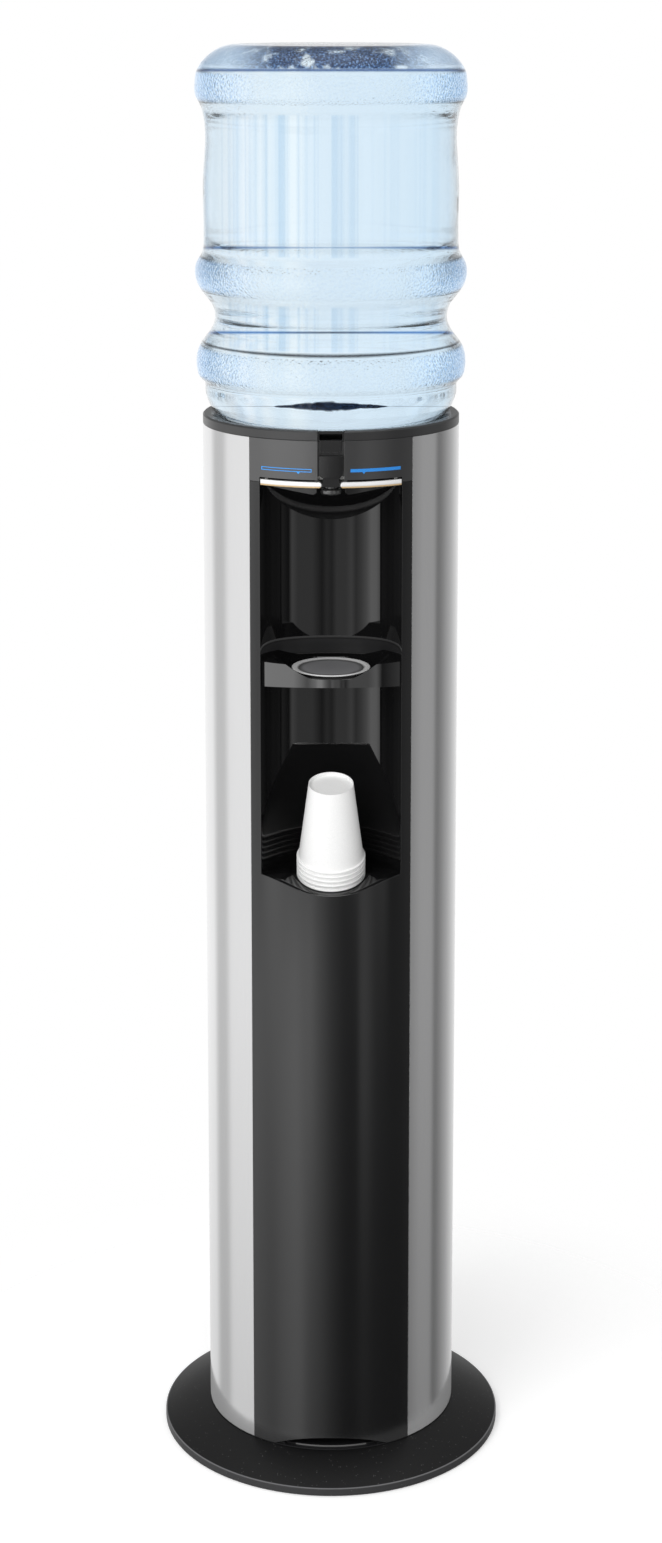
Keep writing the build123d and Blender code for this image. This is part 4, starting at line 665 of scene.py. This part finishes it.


# %% [markdown]
# ## The drip dish
# The dish is thin bright metal. Its rolled rim is given a painted highlight, almost white where it catches
# the lamps, and its hollow a painted darker reflection of the black niche above it. One ramp over the
# distance from the dish's middle tells them apart.

# %% Finish the dish
# Pairs of place, from the middle to the rim, and colour: the hollow's grey and its dark edge, painted as the
# reflection of the niche, and the rim's painted highlight.
DISH_TONE_AND_LIGHT = (
    (0.0, (0.26, 0.26, 0.27)), (0.70, (0.30, 0.30, 0.31)), (0.82, (0.09, 0.09, 0.09)),
    (0.88, (0.92, 0.92, 0.92)), (1.0, (0.95, 0.95, 0.95)),
)


def dish_finish():
    """Satin steel with a painted highlight on the raised rim and a painted reflection in the hollow, told by
    the distance from its middle.
    """
    low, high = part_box("drip_dish")
    middle = (low + high) / 2
    reach = (high.x - low.x) / 2
    material, tree, shader = start_material("dish_steel", Metallic=0.15)
    away = from_axis(tree, (middle.x, middle.y, 0))
    paint = ramp(tree, calculate(tree, "MULTIPLY", away, 1 / reach), DISH_TONE_AND_LIGHT)
    brush = use_group(tree, brushed_lines, 0.0, Lines=700, Depth=0.000005, Roughness=0.34, Spread=0.08)
    dress(tree, shader, paint, brush)
    return material


finish_nodes(dish_finish(), "drip_dish")
print("dish finish:", nodes["drip_dish"].active_material.name)


# %% [markdown]
# ## The paper cups
# Cup board is white fibre with a thin wax coat: nearly matt, with a faint fibre grain close to. The
# cups stand upside down, so the shallow recess of the base shows at the top.

# %% Finish the cups
def paper_coat():
    """White cup board: fibres as a faint bump, and a slightly waxy surface."""
    material, tree, shader = start_material("paper_coat")
    fibres = noise(tree, object_place(tree), 900.0, 4.0)
    paint = ramp(tree, fibres, ((0.3, (0.90, 0.90, 0.895)), (0.7, (0.96, 0.96, 0.955))))
    bump = add_node(tree, "ShaderNodeBump", {"Height": fibres, "Distance": 0.00003})
    grain = use_group(tree, moulded_grain, 0.0, Scale=500, Depth=0.0, Roughness=0.55, Spread=0.1)
    dress(tree, shader, paint, grain)
    # The fibres' bump takes the place of the grain's.
    tree.links.new(bump.outputs[0], shader.inputs["Normal"])
    return material


finish_nodes(paper_coat(), "cup_stack", "top_cup")
print("cup finish:", nodes["cup_stack"].active_material.name)

# %% [markdown]
# ## The lever bars and the blue marks
# Each lever ends in a polished bar, and its light is painted on: a painted shade along its lower edge, a tan
# stripe over its lower third for the painted reflection of the warm inside of the bar's groove, and a painted
# white highlight over its upper part. The marks are printed in flat blue, the outlined one brighter.

# %% Finish the levers and marks
SILVER, PAINTED_HIGHLIGHT, PAINTED_TAN_REFLECTION, PAINTED_SHADE = (0.80, 0.80, 0.80), (1.0, 1.0, 1.0), (0.70, 0.50, 0.27), (0.30, 0.22, 0.14)
# Pairs of place on the bar, from its lower to its upper edge, and colour: painted shade, painted tan
# reflection, silver, and a painted white highlight.
BAR_SILVER_AND_LIGHT = ((0.0, PAINTED_SHADE), (0.05, PAINTED_TAN_REFLECTION), (0.24, PAINTED_TAN_REFLECTION), (0.32, SILVER), (0.55, PAINTED_HIGHLIGHT), (1.0, PAINTED_HIGHLIGHT))


def bar_finish():
    """Polished silver with painted light: a painted shade at the lower edge, a painted tan reflection below a
    height on the bar, and a painted highlight above.
    """
    low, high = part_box("lever_bar_left")
    material, tree, shader = start_material("bar_finish", Metallic=0.25)
    share = stretch(tree, split(tree, object_place(tree))["Z"], low.z, high.z)
    grain = use_group(tree, moulded_grain, 0.0012, Scale=900, Depth=0.000002, Roughness=0.25, Spread=0.06)
    dress(tree, shader, ramp(tree, share, BAR_SILVER_AND_LIGHT), grain)
    return material


finish_nodes(bar_finish(), "lever_bar_left", "lever_bar_right")


def ink_finish():
    """Flat blue ink: the thin outline on the left is printed brighter than the filled bar on the right."""
    material, tree, shader = start_material("blue_ink")
    left = calculate(tree, "LESS_THAN", split(tree, object_place(tree))["X"], 0.0)
    paint = mix_colour(tree, left, (0.028, 0.245, 0.70), (0.05, 0.38, 1.0))
    grain = use_group(tree, moulded_grain, 0.0, Scale=1400, Depth=0.000005, Roughness=0.35, Spread=0.06)
    dress(tree, shader, paint, grain)
    return material


finish_nodes(ink_finish(), "temperature_marks")
for name in ("lever_bar_left", "temperature_marks"):
    print(name, "wears", nodes[name].active_material.name)

# %% [markdown]
# ## The water in the bottle
# The bottle stands full, with a little air under its closed end. The water is turned on a lathe: its
# outline is the bottle's own inside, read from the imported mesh, drawn in by half a millimetre. Its normals
# point outwards all round, so that the shader knows where the water begins and where it ends.

# %% Turn the water
WATER_LOW, WATER_LEVEL, WATER_GAP = 1.056, 1.4395, 0.0005


def inside_outline(piece, low, high, rows):
    """Heights, and the radius of the hollow at each: vertices whose normal points at the axis."""
    data = piece.data
    spots = np.empty(3 * len(data.vertices))
    aims = np.empty(3 * len(data.vertices))
    data.vertices.foreach_get("co", spots)
    data.vertices.foreach_get("normal", aims)
    spots, aims = spots.reshape(-1, 3), aims.reshape(-1, 3)
    radius = np.hypot(spots[:, 0], spots[:, 1])
    inward = (spots[:, 0] * aims[:, 0] + spots[:, 1] * aims[:, 1]) < -0.25 * radius
    order = np.argsort(spots[inward, 2])
    heights = np.linspace(low, high, rows)
    return heights, np.interp(heights, spots[inward, 2][order], radius[inward][order])


def lathe(name, heights, radii, segments=144):
    """A closed turned solid from rising heights and their radii."""
    turn = np.linspace(0, 2 * math.pi, segments, endpoint=False)
    rows = len(heights)
    x = radii[:, None] * np.cos(turn)[None, :]
    y = radii[:, None] * np.sin(turn)[None, :]
    z = np.repeat(heights[:, None], segments, axis=1)
    side = np.stack([x, y, z], axis=2).reshape(-1, 3)
    ends = np.array([[0, 0, heights[0]], [0, 0, heights[-1]]])
    row, step = np.meshgrid(np.arange(rows - 1), np.arange(segments), indexing="ij")
    after = (step + 1) % segments
    first = row * segments
    quads = np.stack([first + step, first + after, first + segments + after, first + segments + step], axis=2)
    corners = quads.reshape(-1, 4)
    around = np.arange(segments)
    following = (around + 1) % segments
    floor_fan = np.stack([np.full(segments, rows * segments), following, around], axis=1)
    last = (rows - 1) * segments
    roof_fan = np.stack([np.full(segments, rows * segments + 1), last + around, last + following], axis=1)
    mesh = bpy.data.meshes.new(name)
    mesh.from_pydata(np.vstack([side, ends]).tolist(), [],
                     corners.tolist() + floor_fan.tolist() + roof_fan.tolist())
    smooth = np.zeros(len(mesh.polygons), dtype=bool)
    smooth[:len(corners)] = True
    mesh.polygons.foreach_set("use_smooth", smooth)
    made = bpy.data.objects.new(name, mesh)
    scene.collection.objects.link(made)
    return made


heights, radii = inside_outline(nodes["bottle"], WATER_LOW, WATER_LEVEL, 150)
water = lathe("water", heights, radii - WATER_GAP)
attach(water, "water_bottle")
clear_water = start_material("clear_water", Roughness=0.0, IOR=1.33, Base_Color=(0.95, 0.98, 1.0),
                             Transmission_Weight=1.0)[0]
water.data.materials.append(clear_water)
litres = 1000 * math.pi * np.mean((radii - WATER_GAP) ** 2) * (WATER_LEVEL - WATER_LOW)
print("water in litres:", round(float(litres), 1))

# %% [markdown]
# ## The bottle
# The bottle is blown from clear plastic with a breath of blue. Where the wall runs square to the eye it
# is almost invisible; where it turns away the light passes through more plastic and reads blue. The
# three grip rings are pebbled in the mould, and so is the closed end.

# %% Helpers for bands and lines
BOTTLE_LOW, BOTTLE_HIGH = 1.05, 1.47
SOFT_END = 0.002


def height_masks(tree, height, *bands):
    """White inside each band of heights, black outside, with soft ends."""
    stops = []
    for low, high in bands:
        for z, value in ((low - SOFT_END, 0.0), (low, 1.0), (high, 1.0), (high + SOFT_END, 0.0)):
            stops.append((min(1.0, (z - BOTTLE_LOW) / (BOTTLE_HIGH - BOTTLE_LOW)), value))
    return ramp(tree, stretch(tree, height, BOTTLE_LOW, BOTTLE_HIGH), stops)


def over_slant(tree, height, depth, slope, level):
    """Height over a slanting plane that passes the axis at a level and falls by a slope to the back."""
    return calculate(tree, "SUBTRACT", calculate(tree, "MULTIPLY_ADD", depth, slope, height), level)


def thin_line(tree, offset, half_width):
    """One on a line, falling to nothing at its half width (a number or a socket)."""
    share = calculate(tree, "DIVIDE", calculate(tree, "ABSOLUTE", offset), half_width)
    return calculate(tree, "MAXIMUM", calculate(tree, "SUBTRACT", 1.0, share), 0.0)


print("bottle from", BOTTLE_LOW, "to", BOTTLE_HIGH, "m")


# %% [markdown]
# ### The lines in the bottle
# Water in a ringed bottle draws lines: each ring's edge shows as a thin dark-blue line, straight where it is
# seen through the water and curved where it lies on the front. These lines are light bent and mirrored by the
# water, so they are painted on the bottle's front as thin bands of painted refraction and painted reflection:
# along a slanting plane for the straight ones, and along a height for the curved ones. The streaks, the bluer
# flecks, the dark closed end and a faint glow are painted light too. Fine noise makes the pebbled skin.

# %% Finish the bottle
# Heights of the three grip rings, of the plain walls that get the painted streaks, and of the pebbled closed
# end.
RINGS = ((1.133, 1.161), (1.221, 1.250), (1.408, 1.434))
PLAIN_WALLS = ((1.170, 1.212), (1.262, 1.396))
CLOSED_END = (1.444, 1.468)
# Slanting planes: how much they fall to the back, and the height at which they pass the axis.
BELT_PLANE, WAIST_PLANE = (0.0925, 1.2591), (0.1233, 1.1732)
COLLAR_REFLECTION_PLANE, LEVEL_PLANE = (0.1503, 1.0978), (0.0292, 1.4357)
RING_ROOT = 1.1660
# The front paint is whole up to the first depth and gone at the second.
PAINT_WHOLE, PAINT_GONE = -0.012, 0.045


def bottle_plastic():
    """Clear blue plastic, pebbled on the rings and the closed end, with painted refraction and reflection
    lines, streaks and dark patches on its front, and a faint painted glow.
    """
    material, tree, shader = start_material("bottle_plastic", Roughness=0.02, IOR=1.45,
                                            Transmission_Weight=1.0, Emission_Strength=1.0)
    place = object_place(tree)
    parts = split(tree, place)
    sideways, depth, height = parts["X"], parts["Y"], parts["Z"]
    aside = calculate(tree, "ABSOLUTE", sideways)
    front = stretch(tree, depth, PAINT_WHOLE, PAINT_GONE, 1.0, 0.0)
    lines = noise(tree, sideways, 75.0, 3.0, "1D")
    pebble = noise(tree, place, 420.0, 1.5)
    patch = noise(tree, place, 60.0, 4.0)

    def weigh(*factors):
        """The product of several masks, fading out just behind the bottle's sides."""
        total = front
        for factor in factors:
            total = calculate(tree, "MULTIPLY", total, factor)
        return total

    def from_middle(near, far, start, end):
        """A value that changes evenly with the distance from the bottle's middle plane."""
        return stretch(tree, aside, near, far, start, end)

    def over(plane):
        """The height over a slanting plane."""
        return over_slant(tree, height, depth, *plane)

    # Painted refraction: upright streaks of the room seen through the water, strongest on the left.
    streak = stretch(tree, lines, 0.47, 0.62)
    leftward = stretch(tree, sideways, -0.02, 0.05, 1.0, 0.25)
    streak = weigh(streak, leftward, height_masks(tree, height, *PLAIN_WALLS))
    paint = mix_colour(tree, streak, (0.955, 0.982, 1.0), (0.74, 0.84, 0.93))
    # Painted light: bluer flecks on the rings, most at both sides, where the wall turns away and more plastic
    # is seen through.
    rings = height_masks(tree, height, *RINGS)
    flecks = stretch(tree, pebble, 0.50, 0.58)
    slant_blue_weight = weigh(rings, flecks, from_middle(0.070, 0.120, 0.10, 0.8))
    paint = mix_colour(tree, slant_blue_weight, paint, (0.38, 0.60, 0.88))
    # Painted refraction: the belt's lower edge, seen flat through the water as a dark-blue line, strongest at
    # both sides.
    belt = thin_line(tree, over(BELT_PLANE), from_middle(0.0, 0.125, 0.0009, 0.0026))
    paint = mix_colour(tree, weigh(belt, from_middle(0.0, 0.11, 0.55, 1.0)), paint, (0.10, 0.25, 0.52))
    # Painted refraction: the waist's lower edge seen through the water, darkest in the middle.
    waist = thin_line(tree, over(WAIST_PLANE), from_middle(0.0, 0.11, 0.0016, 0.0024))
    tone = mix_colour(tree, from_middle(0.01, 0.06, 0.0, 1.0), (0.03, 0.07, 0.14), (0.06, 0.24, 0.58))
    paint = mix_colour(tree, weigh(waist), paint, tone)
    # Painted reflection: the root of the lowest ring mirrors the black collar.
    over_root = calculate(tree, "SUBTRACT", height, RING_ROOT)
    root = thin_line(tree, over_root, from_middle(0.03, 0.115, 0.0026, 0.0012))
    paint = mix_colour(tree, weigh(root), paint, (0.008, 0.012, 0.02))
    # Painted reflection of the collar again, as a dark patch low on the shoulder, with a torn edge.
    reach = calculate(tree, "POWER", from_middle(0.0, 0.055, 1.0, 0.0), 0.6)
    half_width = calculate(tree, "MULTIPLY", calculate(tree, "MULTIPLY_ADD", reach, 0.0044, 0.0001),
                           stretch(tree, patch, 0.35, 0.65, 0.7, 1.3))
    collar_reflection = stretch(tree, thin_line(tree, over(COLLAR_REFLECTION_PLANE), half_width), 0.0, 0.35)
    paint = mix_colour(tree, weigh(collar_reflection), paint, (0.012, 0.022, 0.045))
    # Painted reflection on the closed end over the water's level: dark, pebbled, with bright flecks, bluer at
    # both sides.
    over_level = over(LEVEL_PLANE)
    end = stretch(tree, over_level, 0.0, 0.002)
    blotch = stretch(tree, patch, 0.34, 0.46)
    dark = mix_colour(tree, stretch(tree, pebble, 0.44, 0.60), (0.02, 0.045, 0.12), (0.28, 0.42, 0.66))
    paint = mix_colour(tree, weigh(end, from_middle(0.055, 0.10, 1.0, 0.15), blotch), paint, dark)
    # Painted refraction: the water's level as a thin dark-blue line.
    paint = mix_colour(tree, weigh(thin_line(tree, over_level, 0.0022)), paint, (0.05, 0.13, 0.33))
    tree.links.new(paint, shader.inputs["Base Color"])
    # Painted glow: a faint emission on the rings and the closed end stands in for the studio's light that
    # frosted plastic scatters, most where it is seen at a slant.
    dulled = calculate(tree, "MULTIPLY_ADD", flecks, -0.4, 1.0)
    glow_mask = calculate(tree, "MAXIMUM", weigh(rings, from_middle(0.07, 0.128, 0.0, 1.0), dulled),
                      weigh(end, from_middle(0.05, 0.09, 0.0, 0.7)))
    painted_glow = mix_colour(tree, glow_mask, (0, 0, 0), (0.055, 0.085, 0.125))
    tree.links.new(painted_glow, shader.inputs["Emission Color"])
    # The pebbled skin.
    rough = calculate(tree, "MAXIMUM", height_masks(tree, height, CLOSED_END), rings)
    raised = calculate(tree, "MULTIPLY", pebble, rough)
    bump = add_node(tree, "ShaderNodeBump", {"Height": raised, "Distance": 0.0006, "Strength": 1.0})
    tree.links.new(bump.outputs[0], shader.inputs["Normal"])
    return material


finish_nodes(bottle_plastic(), "bottle")
cap_blue = plastic("cap_blue", (0.10, 0.28, 0.62), 0.4)
finish_nodes(cap_blue, "bottle_cap")
print("bottle finish nodes:", len(nodes["bottle"].active_material.node_tree.nodes))

# %% [markdown]
# ## What the casing hides
# The working pieces inside only show through the louvres and when the bottle is lifted off, but each
# still has its own plain finish: zinc-plated steel, copper pipe, white food-grade plastic and foam.

# %% Finish the inner pieces
zinc = metal("zinc_steel", (0.55, 0.55, 0.56), 0.38, depth=0.00001, lines=500, spread=0.15)
finish_nodes(zinc, "base_screws", "front_posts", "rear_posts", "reservoir_deck", "rear_panel_screws",
             "compressor_bolts", "lever_pin", "valve_spring_right", "valve_spring_left")
stainless = metal("stainless_steel", (0.66, 0.66, 0.66), 0.2)
finish_nodes(stainless, "reservoir")
copper = metal("copper", (0.80, 0.42, 0.26), 0.3)
finish_nodes(copper, "evaporator_coil", "filter_drier", "discharge_pipe", "capillary_tube", "suction_pipe")
food_white = plastic("food_white", (0.80, 0.80, 0.78), 0.4)
finish_nodes(food_white, "lever_bracket", "valve_block", "valve_plunger_right", "valve_plunger_left",
             "neck_well", "feed_probe", "reservoir_lid", "baffle")
foam = plastic("foam", (0.82, 0.82, 0.80), 0.85, depth=0.0004, scale=350)
finish_nodes(foam, "insulation_right", "insulation_left")
black_steel = plastic("black_steel", (0.015, 0.015, 0.016), 0.35, depth=0.00003, scale=600)
finish_nodes(black_steel, "compressor", "condenser")
black_fittings = plastic("black_fittings", (0.02, 0.02, 0.021), 0.4)
finish_nodes(black_fittings, "relay_cover", "thermostat", "thermostat_knob", "mains_inlet", "switch_frame")
green_rocker = plastic("green_rocker", (0.02, 0.30, 0.09), 0.25, depth=0.0)
finish_nodes(green_rocker, "switch_rocker")
silicone = plastic("silicone", (0.78, 0.79, 0.77), 0.5)
finish_nodes(silicone, "water_hoses")
METALS = (zinc, stainless, copper)
print("hidden pieces in metal:", len([n for n in nodes.values() if n.active_material in METALS]))


# %% [markdown]
# ## The two valve springs
# Each lever pushes its valve's plunger against a small spring, and a spring gets shorter when it is pushed. A
# stiff copy of the imported spring would be cut by the plunger; here each spring is wound again as one wire
# in the imported spring's box, and the imported spring is hidden.

# %% Wind the springs
WIRE_RADIUS, TRAVEL = 0.0004, 0.00287


def spring_coil(name, node, turns=6.0, steps=24, sides=10):
    """A wire wound along Y in a node's box.

    The middle of the wire goes round a circle while it moves along the axis by one pitch a turn, and a
    small circle square to that path makes the wire. The two ends are closed with a fan each.
    """
    low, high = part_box(node)
    radius = (high.x - low.x) / 2 - WIRE_RADIUS
    turn = np.linspace(0, 2 * math.pi * turns, int(steps * turns) + 1)
    outward = np.stack([np.cos(turn), np.zeros(len(turn)), np.sin(turn)], axis=1)
    middle = np.tile([(low.x + high.x) / 2, 0.0, (low.z + high.z) / 2], (len(turn), 1))
    middle[:, 1] = np.linspace(low.y + WIRE_RADIUS, high.y - WIRE_RADIUS, len(turn))
    path = radius * outward + middle
    ahead = np.gradient(path, axis=0)
    ahead /= np.linalg.norm(ahead, axis=1)[:, None]
    aside = np.cross(ahead, outward)
    ring = np.linspace(0, 2 * math.pi, sides, endpoint=False)
    skin = (path[:, None, :] + WIRE_RADIUS * np.cos(ring)[None, :, None] * outward[:, None, :]
            + WIRE_RADIUS * np.sin(ring)[None, :, None] * aside[:, None, :]).reshape(-1, 3)
    row, step = np.meshgrid(np.arange(len(turn) - 1), np.arange(sides), indexing="ij")
    after = (step + 1) % sides
    quads = np.stack([row * sides + step, row * sides + after, (row + 1) * sides + after,
                      (row + 1) * sides + step], axis=2).reshape(-1, 4)
    first, last = np.arange(sides)[::-1], (len(turn) - 1) * sides + np.arange(sides)
    mesh = bpy.data.meshes.new(name)
    mesh.from_pydata(skin.tolist(), [], quads.tolist() + [first.tolist(), last.tolist()])
    shape = bmesh.new()
    shape.from_mesh(mesh)
    bmesh.ops.recalc_face_normals(shape, faces=shape.faces)
    shape.to_mesh(mesh)
    shape.free()
    mesh.polygons.foreach_set("use_smooth", np.ones(len(mesh.polygons), dtype=bool))
    mesh.materials.append(zinc)
    made = bpy.data.objects.new(name, mesh)
    scene.collection.objects.link(made)
    return made


for side in ("left", "right"):
    node = "valve_spring_" + side
    coil = spring_coil("spring_coil_" + side, node)
    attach(coil, "cabinet")
    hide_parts(node)
    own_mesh(coil)

# %% [markdown]
# ## Last checks
# No piece may be left with Blender's plain grey, so the pieces that have no finish are printed.

# %% List the pieces with no finish
left_plain = [name for name, o in nodes.items() if not o.data.materials or o.data.materials[0] is None]
print("pieces with no finish:", left_plain)
